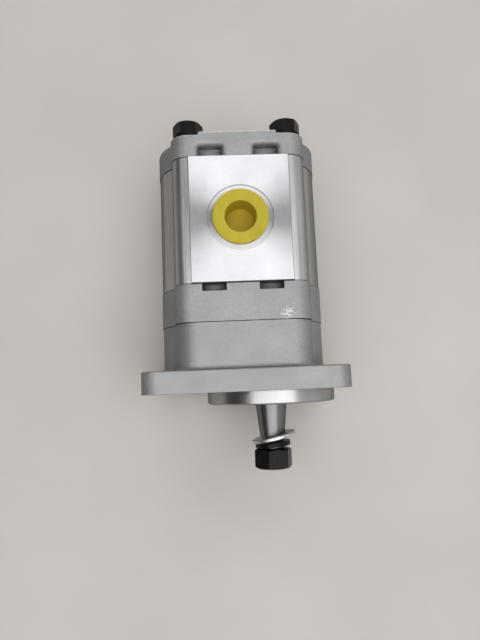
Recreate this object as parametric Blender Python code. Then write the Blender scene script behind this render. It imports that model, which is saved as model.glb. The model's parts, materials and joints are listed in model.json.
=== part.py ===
"""Hydraulic gear pump with an outboard bearing and a tapered shaft, as its separate pieces.

Units are metres and +Z is up. The pump lies with its inlet port up and its shaft towards -Y, and
the world origin is the centre of its footprint on the surface that it lies on.
In the pump's own frame x runs from the middle plane between the two gears, y from the mounting
face towards the rear cover, and z from the plane of the two gear axes.
"""

import math

import bmesh
import bpy
from mathutils import Matrix

# Clearances
JOINT_GAP = 0.0002
FIT_GAP = 0.0003
RUNNING_GAP = 0.00015
CUT_MARGIN = 0.002

# Housing stack along the shaft
FLANGE_CASTING_LENGTH = 0.0400
FRONT_COVER_LENGTH = 0.0222
BODY_LENGTH = 0.0756
REAR_COVER_LENGTH = 0.0155

# Housing cross-section: a block with rounded corners and a round lobe about each gear axis
BLOCK_WIDTH = 0.0796
BLOCK_HEIGHT = 0.0826
BLOCK_CORNER = 0.0102
LOBE_RADIUS = 0.0343
COVER_OVERHANG = 0.0004
CASTING_EDGE = 0.0008

# Mounting flange and pilot
FLANGE_LENGTH = 0.120
FLANGE_WIDTH = 0.090
FLANGE_THICKNESS = 0.013
FLANGE_CORNER = 0.010
FLANGE_FILLET = 0.0025
FLANGE_BLOCK_CORNER = 0.013
FLANGE_HOLE_DIAMETER = 0.009
FLANGE_HOLE_INSET_X = 0.010
FLANGE_HOLE_INSET_Z = 0.009
PILOT_DIAMETER = 0.080
PILOT_HEIGHT = 0.008
PILOT_CHAMFER = 0.0008

# Ports: flat pads on the body, the inlet on top and the outlet underneath
PORT_PAD_WIDTH = 0.0590
PORT_FACE_HEIGHT = 0.0429
SPOTFACE_DEPTH = 0.0008
PORT_THREAD_DEPTH = 0.017
INLET_SPOTFACE_DIAMETER = 0.0386
INLET_THREAD_DIAMETER = 0.0270
INLET_PASSAGE_DIAMETER = 0.0200
OUTLET_SPOTFACE_DIAMETER = 0.0330
OUTLET_THREAD_DIAMETER = 0.0220
OUTLET_PASSAGE_DIAMETER = 0.0150

# Push-in port plugs
PLUG_RIM_OVERHANG = 0.00285
PLUG_RIM_THICKNESS = 0.0022
PLUG_DEPTH = 0.0110
PLUG_WALL = 0.00395
PLUG_FLOOR = 0.0016
PLUG_DRAFT = 0.0012

# Lightening pockets beside the ports, open towards the body
POCKET_WIDTH = 0.0138
REAR_POCKET_LENGTH = 0.0066
FRONT_POCKET_LENGTH = 0.0043
POCKET_OUTER_EDGE = 0.0234
POCKET_DEPTH = 0.0060

# Tie bolts, their spring washers and the dowels between the castings
TIE_BOLT_DIAMETER = 0.010
TIE_BOLT_FLATS = 0.016
TIE_BOLT_HEAD = 0.0074
TIE_BOLT_ENGAGEMENT = 0.020
TIE_BOLT_TURN = math.radians(3)
TIE_WASHER_DIAMETER = 0.0181
TIE_WASHER_THICKNESS = 0.0026
SPOT_SEAT_DIAMETER = 0.025
SPOT_SEAT_DEPTH = 0.0020
DOWEL_DIAMETER = 0.006
DOWEL_LENGTH = 0.012
DOWEL_HEIGHT = 0.0355

# Gear pair and its journals
GEAR_TEETH = 13
GEAR_MODULE = 0.0025
PRESSURE_ANGLE = math.radians(25)
GEAR_BACKLASH = 0.00016
ROOT_DEPTH_FACTOR = 1.25
ROOT_FLARE = 1.15
JOURNAL_DIAMETER = 0.018
JOURNAL_INSET = 0.0006
BUSH_WALL = 0.0018
BEARING_BLOCK_LENGTH = 0.022

# Flat seals in the joints and on the bearing blocks
SEAL_WIDTH = 0.0024
SEAL_THICKNESS = 0.0020
BODY_SEAL_RADIUS = 0.0222
AXIAL_SEAL_END = math.radians(20)

# Outboard ball bearing
BEARING_SETBACK = 0.0062
BEARING_BORE = 0.025
BEARING_OUTSIDE = 0.047
BEARING_WIDTH = 0.012
BALL_DIAMETER = 0.0065
BALL_COUNT = 9
RACE_SHOULDER = 0.00195
CAGE_RIM = 0.0012

# Shaft seals and retaining rings
SHAFT_SEAL_OUTSIDE = 0.040
SHAFT_SEAL_WIDTH = 0.007
INNER_SEAL_OUTSIDE = 0.030
SEAL_CASE = 0.0016
SEAL_LIP = 0.0018
SEAL_WEB = 0.003
CIRCLIP_THICKNESS = 0.0015
CIRCLIP_GROOVE = 0.0012
CIRCLIP_WIDTH = 0.0030
CIRCLIP_OPENING = math.radians(28)

# Tapered input shaft, one in five, and its coupling to the drive gear
TAPER_LARGE_DIAMETER = 0.020
TAPER_LENGTH = 0.0222
TAPER_SHOULDER = 0.0010
TAPER_RATIO = 0.2
SEAL_LAND_DIAMETER = 0.022
SHAFT_SHOULDER_DIAMETER = 0.030
SHAFT_SHOULDER_LENGTH = 0.003
SHAFT_THREAD_DIAMETER = 0.014
SHAFT_THREAD_LENGTH = 0.0181
THREAD_LEAD_IN = 0.0008
UNDERCUT_LENGTH = 0.0015
UNDERCUT_DEPTH = 0.0010
TANG_WIDTH = 0.008
TANG_LENGTH = 0.006
COUPLING_WEB = 0.003

# Woodruff key under the taper
KEY_WIDTH = 0.004
KEY_RADIUS = 0.008
KEY_CHORD_OFFSET = 0.0015
KEY_STAND_OUT = 0.0016
KEY_PLACE = 0.010

# Shaft nut and the two washers that hang loose behind it
NUT_FLATS = 0.021
NUT_HEIGHT = 0.0119
NUT_FRONT_OVERHANG = 0.0016
NUT_TURN = math.radians(-12)
HEX_CHAMFER = math.radians(30)
HEX_FACE_INSET = 0.0003
LOCK_WASHER_DIAMETER = 0.0222
LOCK_WASHER_THICKNESS = 0.0027
LOCK_WASHER_RISE = 0.0008
LOCK_WASHER_SPLIT = math.radians(9)
LOCK_WASHER_TILT = math.radians(3.5)
FLAT_WASHER_DIAMETER = 0.028
FLAT_WASHER_HOLE = 0.0172
FLAT_WASHER_THICKNESS = 0.0022
FLAT_WASHER_TILT = math.radians(12)
FLAT_WASHER_DROP = 0.0004
FLAT_WASHER_SHIFT = 0.0009
FLAT_WASHER_SETBACK = 0.0008

# Facets
FINE_STEPS = 36
ROUND_STEPS = 24
INNER_STEPS = 20
SMALL_STEPS = 12
CORNER_STEPS = 3
LOBE_STEPS = 9
FILLET_STEPS = 2
FLANK_STEPS = 3
GROOVE_STEPS = 4
BALL_STEPS = 8
SHARP_EDGE = math.radians(35)

# Sizes and places that follow from the values above
GEAR_CENTRES = GEAR_TEETH * GEAR_MODULE
DRIVE_X = GEAR_CENTRES / 2
TIP_RADIUS = GEAR_CENTRES / 2 + GEAR_MODULE
CHAMBER_RADIUS = TIP_RADIUS + FIT_GAP

FRONT_COVER_Y = FLANGE_CASTING_LENGTH
BODY_Y = FRONT_COVER_Y + FRONT_COVER_LENGTH
REAR_COVER_Y = BODY_Y + BODY_LENGTH
REAR_END_Y = REAR_COVER_Y + REAR_COVER_LENGTH
PORT_Y = BODY_Y + BODY_LENGTH / 2

TIE_BOLT_X = BLOCK_WIDTH / 2 - BLOCK_CORNER
TIE_BOLT_Z = BLOCK_HEIGHT / 2 - BLOCK_CORNER
TIE_BOLT_HOLE_RADIUS = TIE_BOLT_DIAMETER / 2 + FIT_GAP
BOLT_SEAT_Y = REAR_END_Y - SPOT_SEAT_DEPTH
BOLT_HEAD_Y = BOLT_SEAT_Y + TIE_WASHER_THICKNESS + 2 * JOINT_GAP
BOLT_TOP_Y = BOLT_HEAD_Y + TIE_BOLT_HEAD
BOLT_END_Y = FRONT_COVER_Y - TIE_BOLT_ENGAGEMENT

FRONT_BLOCK_Y = BODY_Y + FIT_GAP
GEAR_FRONT_Y = FRONT_BLOCK_Y + BEARING_BLOCK_LENGTH + FIT_GAP
BODY_END_Y = REAR_COVER_Y - JOINT_GAP
REAR_BLOCK_Y = BODY_END_Y - FIT_GAP - BEARING_BLOCK_LENGTH
GEAR_REAR_Y = REAR_BLOCK_Y - FIT_GAP
JOURNAL_RADIUS = JOURNAL_DIAMETER / 2
BUSH_INNER_RADIUS = JOURNAL_RADIUS + RUNNING_GAP
BUSH_OUTER_RADIUS = BUSH_INNER_RADIUS + BUSH_WALL
BUSH_SEAT_RADIUS = BUSH_OUTER_RADIUS + FIT_GAP

BEARING_Y = BEARING_SETBACK
BEARING_END_Y = BEARING_Y + BEARING_WIDTH
BEARING_SEAT_RADIUS = BEARING_OUTSIDE / 2 + FIT_GAP
BALL_CIRCLE_RADIUS = (BEARING_BORE + BEARING_OUTSIDE) / 4
SHAFT_SEAL_SEAT_RADIUS = SHAFT_SEAL_OUTSIDE / 2 + FIT_GAP
INNER_SEAL_SEAT_RADIUS = INNER_SEAL_OUTSIDE / 2 + FIT_GAP
SEAL_SEAT_Y = BEARING_Y - FIT_GAP - SEAL_WEB
SHAFT_SEAL_Y = SEAL_SEAT_Y - FIT_GAP - SHAFT_SEAL_WIDTH
SEAL_CIRCLIP_Y = SHAFT_SEAL_Y - FIT_GAP - CIRCLIP_THICKNESS
BEARING_CIRCLIP_Y = BEARING_END_Y + FIT_GAP
FLANGE_SEAL_RADIUS = BEARING_SEAT_RADIUS + SEAL_WIDTH

SHAFT_SHOULDER_Y = BEARING_END_Y + FIT_GAP
SHAFT_SHOULDER_RADIUS = SHAFT_SHOULDER_DIAMETER / 2
INPUT_TANG_Y = SHAFT_SHOULDER_Y + SHAFT_SHOULDER_LENGTH
COUPLING_Y = INPUT_TANG_Y + FIT_GAP
SLOT_DEPTH = TANG_LENGTH + FIT_GAP
COUPLING_END_Y = COUPLING_Y + 2 * SLOT_DEPTH + COUPLING_WEB
GEAR_TANG_Y = COUPLING_END_Y + FIT_GAP

TAPER_START_Y = TAPER_SHOULDER - PILOT_HEIGHT
TAPER_END_Y = TAPER_START_Y - TAPER_LENGTH
TAPER_SMALL_DIAMETER = TAPER_LARGE_DIAMETER - TAPER_RATIO * TAPER_LENGTH
SHAFT_END_Y = TAPER_END_Y - SHAFT_THREAD_LENGTH
THREAD_CLEAR_RADIUS = SHAFT_THREAD_DIAMETER / 2 + FIT_GAP
NUT_FRONT_Y = SHAFT_END_Y - NUT_FRONT_OVERHANG
NUT_REAR_Y = NUT_FRONT_Y + NUT_HEIGHT
LOCK_WASHER_LEAN = math.sin(LOCK_WASHER_TILT) * LOCK_WASHER_DIAMETER / 2
LOCK_WASHER_Y = NUT_REAR_Y + FIT_GAP + LOCK_WASHER_LEAN
FLAT_WASHER_Y = TAPER_END_Y - FLAT_WASHER_SETBACK
KEY_Y = TAPER_START_Y - KEY_PLACE
KEY_FLAT_Z = -(TAPER_LARGE_DIAMETER - TAPER_RATIO * KEY_PLACE) / 2 - KEY_STAND_OUT

# The pump lies on the flange's edge, with its length centred on the origin
AXIS_HEIGHT = FLANGE_WIDTH / 2
MOUNT_FACE_Y = -(NUT_FRONT_Y + BOLT_TOP_Y) / 2


def clear_scene():
    for obj in list(bpy.data.objects):
        bpy.data.objects.remove(obj, do_unlink=True)


def new_material(name, colour, roughness, metallic):
    material = bpy.data.materials.new(name)
    material.use_nodes = True
    shader = material.node_tree.nodes["Principled BSDF"]
    shader.inputs["Base Color"].default_value = (*colour, 1.0)
    shader.inputs["Roughness"].default_value = roughness
    shader.inputs["Metallic"].default_value = metallic
    return material


def new_empty(name, location, parent=None):
    empty = bpy.data.objects.new(name, None)
    empty.location = location
    empty.parent = parent
    bpy.context.scene.collection.objects.link(empty)
    return empty


# Outlines in the x-z plane

def arc(centre, radius, start, end, steps):
    """Points on an arc, both ends included."""
    angles = [start + (end - start) * i / steps for i in range(steps + 1)]
    return [(centre[0] + radius * math.cos(a), centre[1] + radius * math.sin(a)) for a in angles]


def circle(radius, steps, turn=0.0):
    return arc((0.0, 0.0), radius, turn, turn + 2 * math.pi, steps)[:-1]


def rounded_rectangle(width, height, corner):
    points = []
    for quarter, (side_x, side_z) in enumerate(((1, 1), (-1, 1), (-1, -1), (1, -1))):
        centre = (side_x * (width / 2 - corner), side_z * (height / 2 - corner))
        start = quarter * math.pi / 2
        points += arc(centre, corner, start, start + math.pi / 2, CORNER_STEPS)
    return points


def housing_outline(grow=0.0, corner=BLOCK_CORNER):
    """The block with its rounded corners and the lobe about each gear axis, grown all round."""
    half_width = BLOCK_WIDTH / 2 + grow
    lobe = LOBE_RADIUS + grow
    lobe_angle = math.acos((half_width - DRIVE_X) / lobe)
    centre_x, centre_z = BLOCK_WIDTH / 2 - corner, BLOCK_HEIGHT / 2 - corner
    points = []
    for turn in (0.0, math.pi):
        side = math.cos(turn)
        points += arc((side * DRIVE_X, 0.0), lobe, turn - lobe_angle, turn + lobe_angle, LOBE_STEPS)
        for quarter, side_x in enumerate((side, -side)):
            start = turn + quarter * math.pi / 2
            points += arc((side_x * centre_x, side * centre_z), corner + grow, start,
                          start + math.pi / 2, CORNER_STEPS)
    return points


def figure_eight(radius, steps=LOBE_STEPS):
    """Two equal circles about the gear axes, joined where they cross."""
    waist = math.acos(DRIVE_X / radius)
    right = arc((DRIVE_X, 0.0), radius, waist - math.pi, math.pi - waist, steps)
    left = arc((-DRIVE_X, 0.0), radius, waist, 2 * math.pi - waist, steps)
    return right + left[1:-1]


def gear_outline(first_tooth_angle):
    """Involute teeth, with straight flanks below the base circle."""
    pitch_radius = GEAR_CENTRES / 2
    base_radius = pitch_radius * math.cos(PRESSURE_ANGLE)
    root_radius = pitch_radius - ROOT_DEPTH_FACTOR * GEAR_MODULE
    half_tooth = (math.pi * GEAR_MODULE / 2 - GEAR_BACKLASH) / 2 / pitch_radius
    base_angle = half_tooth + math.tan(PRESSURE_ANGLE) - PRESSURE_ANGLE
    flank = [(root_radius, base_angle * ROOT_FLARE)]
    for i in range(FLANK_STEPS + 1):
        radius = base_radius + (TIP_RADIUS - base_radius) * i / FLANK_STEPS
        roll = math.acos(base_radius / radius)
        flank.append((radius, base_angle - (math.tan(roll) - roll)))
    points = []
    for tooth in range(GEAR_TEETH):
        middle = first_tooth_angle + 2 * math.pi * tooth / GEAR_TEETH
        sides = [(r, middle - a) for r, a in flank] + [(r, middle + a) for r, a in reversed(flank)]
        points += [(r * math.cos(a), r * math.sin(a)) for r, a in sides]
    return points


def ribbon_outline(path, width):
    """The outline of a strip of the given width along an open path."""
    left, right = [], []
    for i, (x, z) in enumerate(path):
        before, after = path[max(i - 1, 0)], path[min(i + 1, len(path) - 1)]
        dx, dz = after[0] - before[0], after[1] - before[1]
        scale = width / 2 / math.hypot(dx, dz)
        left.append((x - dz * scale, z + dx * scale))
        right.append((x + dz * scale, z - dx * scale))
    return right + left[::-1]


# Solids

def skin(rows, around_rows=False):
    """Quads between rows of points that have the same count, each row a closed loop."""
    mesh = bmesh.new()
    loops = [[mesh.verts.new(point) for point in row] for row in rows]
    following = loops[1:] + loops[:1] if around_rows else loops[1:]
    count = len(loops[0])
    for first, second in zip(loops, following):
        for i in range(count):
            j = (i + 1) % count
            mesh.faces.new((first[i], first[j], second[j], second[i]))
    if not around_rows:
        mesh.faces.new(loops[0])
        mesh.faces.new(loops[-1])
    bmesh.ops.recalc_face_normals(mesh, faces=mesh.faces)
    return mesh


def loft(sections):
    """A closed solid through (outline, y) sections, with flat ends."""
    mesh = skin([[(x, y, z) for x, z in outline] for outline, y in sections])
    sides = [face for face in mesh.faces if len(face.verts) == 4]
    if len(sections) > 2:
        bmesh.ops.triangulate(mesh, faces=sides)
    return mesh


def prism(outline, y0, y1):
    return loft([(outline, y0), (outline, y1)])


def ring_prism(outer, inner, y0, y1):
    """A flat ring between two outlines that have the same number of points."""
    corners = ((outer, y0), (outer, y1), (inner, y1), (inner, y0))
    return skin([[(x, y, z) for x, z in outline] for outline, y in corners], around_rows=True)


def turned(profile, steps, closed=False):
    """A solid of revolution about the y axis, from (y, radius) points. A closed profile is a ring."""
    mesh = bmesh.new()
    verts = [mesh.verts.new((radius, y, 0)) for y, radius in profile]
    pairs = list(zip(verts, verts[1:]))
    if closed:
        pairs.append((verts[-1], verts[0]))
    edges = [mesh.edges.new(pair) for pair in pairs]
    bmesh.ops.spin(mesh, geom=verts + edges, cent=(0, 0, 0), axis=(0, 1, 0),
                   angle=2 * math.pi, steps=steps, use_merge=True)
    bmesh.ops.remove_doubles(mesh, verts=mesh.verts, dist=1e-7)
    bmesh.ops.recalc_face_normals(mesh, faces=mesh.faces)
    return mesh


def tube(inner_radius, outer_radius, y0, y1, steps):
    profile = [(y0, inner_radius), (y0, outer_radius), (y1, outer_radius), (y1, inner_radius)]
    return turned(profile, steps, closed=True)


def cylinder(radius, y0, y1, steps):
    return prism(circle(radius, steps), y0, y1)


def box(low, high):
    mesh = bmesh.new()
    bmesh.ops.create_cube(mesh, size=1.0)
    for vert in mesh.verts:
        vert.co = [low[k] if vert.co[k] < 0 else high[k] for k in range(3)]
    return mesh


def split_ring(inner_radius, outer_radius, thickness, rise, split, steps):
    """A ring of rectangular section, split at the bottom, that climbs along y by rise."""
    rows = []
    for i in range(steps + 1):
        share = i / steps
        angle = -math.pi / 2 - split / 2 - (2 * math.pi - split) * share
        y0 = (share - 0.5) * rise - thickness / 2
        y1 = y0 + thickness
        section = ((inner_radius, y0), (outer_radius, y0), (outer_radius, y1), (inner_radius, y1))
        rows.append([(r * math.cos(angle), y, r * math.sin(angle)) for r, y in section])
    return skin(rows)


def joined(meshes):
    """Separate shapes in one mesh, for a cutter with several tools."""
    whole = bmesh.new()
    for mesh in meshes:
        part = bpy.data.meshes.new("part")
        mesh.to_mesh(part)
        mesh.free()
        whole.from_mesh(part)
        bpy.data.meshes.remove(part)
    return whole


def moved(mesh, x=0.0, y=0.0, z=0.0):
    bmesh.ops.translate(mesh, verts=mesh.verts, vec=(x, y, z))
    return mesh


def rotated(mesh, angle, axis):
    bmesh.ops.rotate(mesh, verts=mesh.verts, matrix=Matrix.Rotation(angle, 3, axis))
    return mesh


def four_corners(x, z):
    return [(side_x * x, side_z * z) for side_z in (1, -1) for side_x in (-1, 1)]


# Objects

# The exact solver leaves open edges in these, where a tool meets the edge of a facet
MANIFOLD_OBJECTS = ("mounting_flange", "pump_body", "tie_bolt")


def add_object(name, mesh, parent, material=None):
    data = bpy.data.meshes.new(name)
    mesh.to_mesh(data)
    mesh.free()
    obj = bpy.data.objects.new(name, data)
    obj.parent = parent
    bpy.context.scene.collection.objects.link(obj)
    if material:
        data.materials.append(material)
        data.shade_smooth()
        data.set_sharp_from_angle(angle=SHARP_EDGE)
    return obj


def add_tool(name, mesh, parent):
    tool = add_object(name, mesh, parent)
    tool.hide_render = True
    tool.display_type = "WIRE"
    return tool


def combine(obj, operation, *tools):
    for tool in tools:
        modifier = obj.modifiers.new(tool.name, "BOOLEAN")
        modifier.operation = operation
        modifier.solver = "MANIFOLD" if obj.name in MANIFOLD_OBJECTS else "EXACT"
        modifier.object = tool


def cut(obj, *tools):
    combine(obj, "DIFFERENCE", *tools)


def join(obj, *tools):
    combine(obj, "UNION", *tools)


def place_copies(pattern, names, places, turn=0.0):
    """Objects that share the finished mesh of a pattern, which is then removed."""
    graph = bpy.context.evaluated_depsgraph_get()
    data = bpy.data.meshes.new_from_object(pattern.evaluated_get(graph))
    for name, place in zip(names, places):
        copy = bpy.data.objects.new(name, data)
        copy.parent = pattern.parent
        copy.location = place
        copy.rotation_euler = (0, turn, 0)
        bpy.context.scene.collection.objects.link(copy)
    bpy.data.objects.remove(pattern, do_unlink=True)


# Holes that go through several castings

def make_bolt_hole_tool(frame):
    holes = [moved(cylinder(TIE_BOLT_HOLE_RADIUS, BOLT_END_Y - CUT_MARGIN, REAR_END_Y + CUT_MARGIN,
                            SMALL_STEPS), x=x, z=z)
             for x, z in four_corners(TIE_BOLT_X, TIE_BOLT_Z)]
    return add_tool("bolt_hole_tool", joined(holes), frame)


def make_dowel_hole_tool(frame):
    radius = DOWEL_DIAMETER / 2 + FIT_GAP
    reach = DOWEL_LENGTH / 2 + FIT_GAP
    holes = [moved(cylinder(radius, y - reach, y + reach, SMALL_STEPS), z=side * DOWEL_HEIGHT)
             for y in (FRONT_COVER_Y, BODY_Y, REAR_COVER_Y) for side in (1, -1)]
    return add_tool("dowel_hole_tool", joined(holes), frame)


# Castings

def quarter_round(edge):
    """(along, across) points of a quarter circle, from (0, edge) to (edge, 0)."""
    angles = [math.pi / 2 * i / FILLET_STEPS for i in range(FILLET_STEPS + 1)]
    return [(edge * (1 - math.cos(a)), edge * (1 - math.sin(a))) for a in angles]


def rounded_end(outline_of, y0, y1, edge):
    """A loft from y0 to y1 whose far end is rounded over. outline_of(grow) gives the outline."""
    sections = [(outline_of(0.0), y0)]
    sections += [(outline_of(-along), y1 - across) for along, across in quarter_round(edge)]
    return loft(sections)


def make_mounting_flange(frame, drive_axis, shared_tools, material):
    def plate_outline(grow):
        return rounded_rectangle(FLANGE_LENGTH + 2 * grow, FLANGE_WIDTH + 2 * grow, FLANGE_CORNER + grow)

    plate = rounded_end(plate_outline, 0.0, FLANGE_THICKNESS, CASTING_EDGE)
    flange = add_object("mounting_flange", plate, frame, material)
    join(flange, make_flange_block_tool(frame), make_pilot_tool(drive_axis))
    hole_radius = FLANGE_HOLE_DIAMETER / 2
    hole_x, hole_z = FLANGE_LENGTH / 2 - FLANGE_HOLE_INSET_X, FLANGE_WIDTH / 2 - FLANGE_HOLE_INSET_Z
    hole_end_y = FLANGE_THICKNESS + CUT_MARGIN
    holes = [moved(cylinder(hole_radius, -CUT_MARGIN, hole_end_y, SMALL_STEPS), x=x, z=z)
             for x, z in four_corners(hole_x, hole_z)]
    cut(flange, add_tool("flange_hole_tool", joined(holes), frame), make_bearing_bore_tool(drive_axis))
    cut(flange, *shared_tools)


def make_flange_block_tool(frame):
    """The block behind the flange, with the fillet that runs out onto the flange."""
    root_y = FLANGE_THICKNESS / 2
    sections = [(housing_outline(FLANGE_FILLET, FLANGE_BLOCK_CORNER), root_y)]
    sections += [(housing_outline(across, FLANGE_BLOCK_CORNER), FLANGE_THICKNESS + along)
                 for along, across in quarter_round(FLANGE_FILLET)]
    sections.append((housing_outline(0.0, FLANGE_BLOCK_CORNER), FLANGE_CASTING_LENGTH - JOINT_GAP))
    return add_tool("flange_block_tool", loft(sections), frame)


def make_pilot_tool(drive_axis):
    radius = PILOT_DIAMETER / 2
    profile = [
        (FLANGE_THICKNESS / 2, 0), (FLANGE_THICKNESS / 2, radius),
        (PILOT_CHAMFER - PILOT_HEIGHT, radius), (-PILOT_HEIGHT, radius - PILOT_CHAMFER), (-PILOT_HEIGHT, 0)]
    return add_tool("pilot_tool", turned(profile, FINE_STEPS), drive_axis)


def circlip_groove(ring_y, seat_radius):
    """Bore profile points of the groove for a retaining ring."""
    y0, y1 = ring_y - RUNNING_GAP, ring_y + CIRCLIP_THICKNESS + RUNNING_GAP
    floor = seat_radius + CIRCLIP_GROOVE
    return [(y0, seat_radius), (y0, floor), (y1, floor), (y1, seat_radius)]


def make_bearing_bore_tool(drive_axis):
    """The stepped bore for the shaft seal, the ball bearing and their retaining rings."""
    front_y, rear_y = -PILOT_HEIGHT - CUT_MARGIN, FLANGE_CASTING_LENGTH + CUT_MARGIN
    web_radius = SHAFT_SEAL_SEAT_RADIUS - SEAL_WEB
    shelf_y = BEARING_Y - FIT_GAP
    profile = [(front_y, 0), (front_y, SHAFT_SEAL_SEAT_RADIUS)]
    profile += circlip_groove(SEAL_CIRCLIP_Y, SHAFT_SEAL_SEAT_RADIUS)
    profile += [(SEAL_SEAT_Y, SHAFT_SEAL_SEAT_RADIUS), (SEAL_SEAT_Y, web_radius),
                (shelf_y, web_radius), (shelf_y, BEARING_SEAT_RADIUS)]
    profile += circlip_groove(BEARING_CIRCLIP_Y, BEARING_SEAT_RADIUS)
    profile += [(rear_y, BEARING_SEAT_RADIUS), (rear_y, 0)]
    return add_tool("bearing_bore_tool", turned(profile, INNER_STEPS), drive_axis)


def make_pocket_tool(name, frame, y0, y1):
    """Two pockets on each port side of a cover."""
    surface = BLOCK_HEIGHT / 2 + COVER_OVERHANG
    outside, floor = surface + CUT_MARGIN, surface - POCKET_DEPTH
    pockets = []
    for side in (1, -1):
        x0, x1 = sorted((side * (POCKET_OUTER_EDGE - POCKET_WIDTH), side * POCKET_OUTER_EDGE))
        pockets.append(box((x0, y0, floor), (x1, y1, outside)))
        pockets.append(box((x0, y0, -outside), (x1, y1, -floor)))
    return add_tool(name, joined(pockets), frame)


def body_seal_ring(y0, y1, grow=0.0):
    """The seal that goes round the gear chamber, or its groove when grown."""
    half_width = SEAL_WIDTH / 2 + grow
    outer, inner = figure_eight(BODY_SEAL_RADIUS + half_width), figure_eight(BODY_SEAL_RADIUS - half_width)
    return ring_prism(outer, inner, y0, y1)


def flange_seal_ring(y0, y1, grow=0.0):
    half_width = SEAL_WIDTH / 2 + grow
    return tube(FLANGE_SEAL_RADIUS - half_width, FLANGE_SEAL_RADIUS + half_width, y0, y1, INNER_STEPS)


def make_front_cover(frame, drive_axis, shared_tools, material):
    end_y = BODY_Y - JOINT_GAP
    groove_depth = SEAL_THICKNESS + FIT_GAP
    cover = add_object("front_cover", prism(housing_outline(COVER_OVERHANG), FRONT_COVER_Y, end_y),
                       frame, material)
    pockets = make_pocket_tool("front_pocket_tool", frame, end_y - FRONT_POCKET_LENGTH, end_y + CUT_MARGIN)
    recess_y = FRONT_COVER_Y + SHAFT_SEAL_WIDTH + 2 * FIT_GAP
    shaft_radius = JOURNAL_RADIUS + 2 * FIT_GAP
    front_y, rear_y = FRONT_COVER_Y - CUT_MARGIN, BODY_Y + CUT_MARGIN
    bore = turned([
        (front_y, 0), (front_y, INNER_SEAL_SEAT_RADIUS), (recess_y, INNER_SEAL_SEAT_RADIUS),
        (recess_y, shaft_radius), (rear_y, shaft_radius), (rear_y, 0)], INNER_STEPS)
    body_groove = body_seal_ring(end_y - groove_depth, rear_y, FIT_GAP)
    flange_groove = flange_seal_ring(front_y, FRONT_COVER_Y + groove_depth, FIT_GAP)
    cut(cover, pockets, add_tool("cover_bore_tool", bore, drive_axis),
        add_tool("front_body_groove_tool", body_groove, frame),
        add_tool("flange_groove_tool", flange_groove, drive_axis), *shared_tools)


def make_port_tool(name, frame, side, spotface, thread, passage):
    """Spotface, threaded bore and passage of one port, down to the gear chamber."""
    top_y, face_y = PORT_FACE_HEIGHT + CUT_MARGIN, PORT_FACE_HEIGHT - SPOTFACE_DEPTH
    thread_floor = PORT_FACE_HEIGHT - PORT_THREAD_DEPTH
    profile = [
        (0, 0), (0, passage / 2), (thread_floor, passage / 2), (thread_floor, thread / 2),
        (face_y, thread / 2), (face_y, spotface / 2), (top_y, spotface / 2), (top_y, 0)]
    port = rotated(turned(profile, INNER_STEPS), side * math.pi / 2, "X")
    return add_tool(name, moved(port, y=PORT_Y), frame)


def make_pump_body(frame, shared_tools, material):
    body = add_object("pump_body", prism(housing_outline(), BODY_Y, BODY_END_Y), frame, material)
    half_pad = PORT_PAD_WIDTH / 2
    pads = box((-half_pad, BODY_Y, -PORT_FACE_HEIGHT), (half_pad, BODY_END_Y, PORT_FACE_HEIGHT))
    chamber_outline = figure_eight(CHAMBER_RADIUS, 2 * LOBE_STEPS)
    chamber = prism(chamber_outline, BODY_Y - CUT_MARGIN, BODY_END_Y + CUT_MARGIN)
    inlet = make_port_tool("inlet_tool", frame, 1, INLET_SPOTFACE_DIAMETER,
                           INLET_THREAD_DIAMETER, INLET_PASSAGE_DIAMETER)
    outlet = make_port_tool("outlet_tool", frame, -1, OUTLET_SPOTFACE_DIAMETER,
                            OUTLET_THREAD_DIAMETER, OUTLET_PASSAGE_DIAMETER)
    join(body, add_tool("port_pad_tool", pads, frame))
    cut(body, add_tool("gear_chamber_tool", chamber, frame), inlet, outlet, *shared_tools)


def make_rear_cover(frame, shared_tools, material):
    def outline(grow):
        return housing_outline(COVER_OVERHANG + grow)

    blank = rounded_end(outline, REAR_COVER_Y, REAR_END_Y, CASTING_EDGE)
    cover = add_object("rear_cover", blank, frame, material)
    front_y = REAR_COVER_Y - CUT_MARGIN
    pockets = make_pocket_tool("rear_pocket_tool", frame, front_y, REAR_COVER_Y + REAR_POCKET_LENGTH)
    seat_radius, seat_end_y = SPOT_SEAT_DIAMETER / 2, REAR_END_Y + CUT_MARGIN
    seats = [moved(cylinder(seat_radius, BOLT_SEAT_Y, seat_end_y, ROUND_STEPS), x=x, z=z)
             for x, z in four_corners(TIE_BOLT_X, TIE_BOLT_Z)]
    groove = body_seal_ring(front_y, REAR_COVER_Y + SEAL_THICKNESS + FIT_GAP, FIT_GAP)
    cut(cover, pockets, add_tool("bolt_seat_tool", joined(seats), frame),
        add_tool("rear_body_groove_tool", groove, frame), *shared_tools)


# Fasteners

def hex_blank(flats, y0, y1, chamfer_front, steps):
    """The turned blank that chamfers a hexagon's corners at its rear end, and also at its front."""
    corner = flats / 2 / math.cos(math.pi / 6) + FIT_GAP
    face = flats / 2 - HEX_FACE_INSET
    drop = (corner - face) * math.tan(HEX_CHAMFER)
    front = [(y0, face), (y0 + drop, corner)] if chamfer_front else [(y0, corner)]
    return turned([(y0, 0)] + front + [(y1 - drop, corner), (y1, face), (y1, 0)], steps)


def hexagon(flats, turn=0.0):
    return circle(flats / 2 / math.cos(math.pi / 6), 6, turn)


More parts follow.
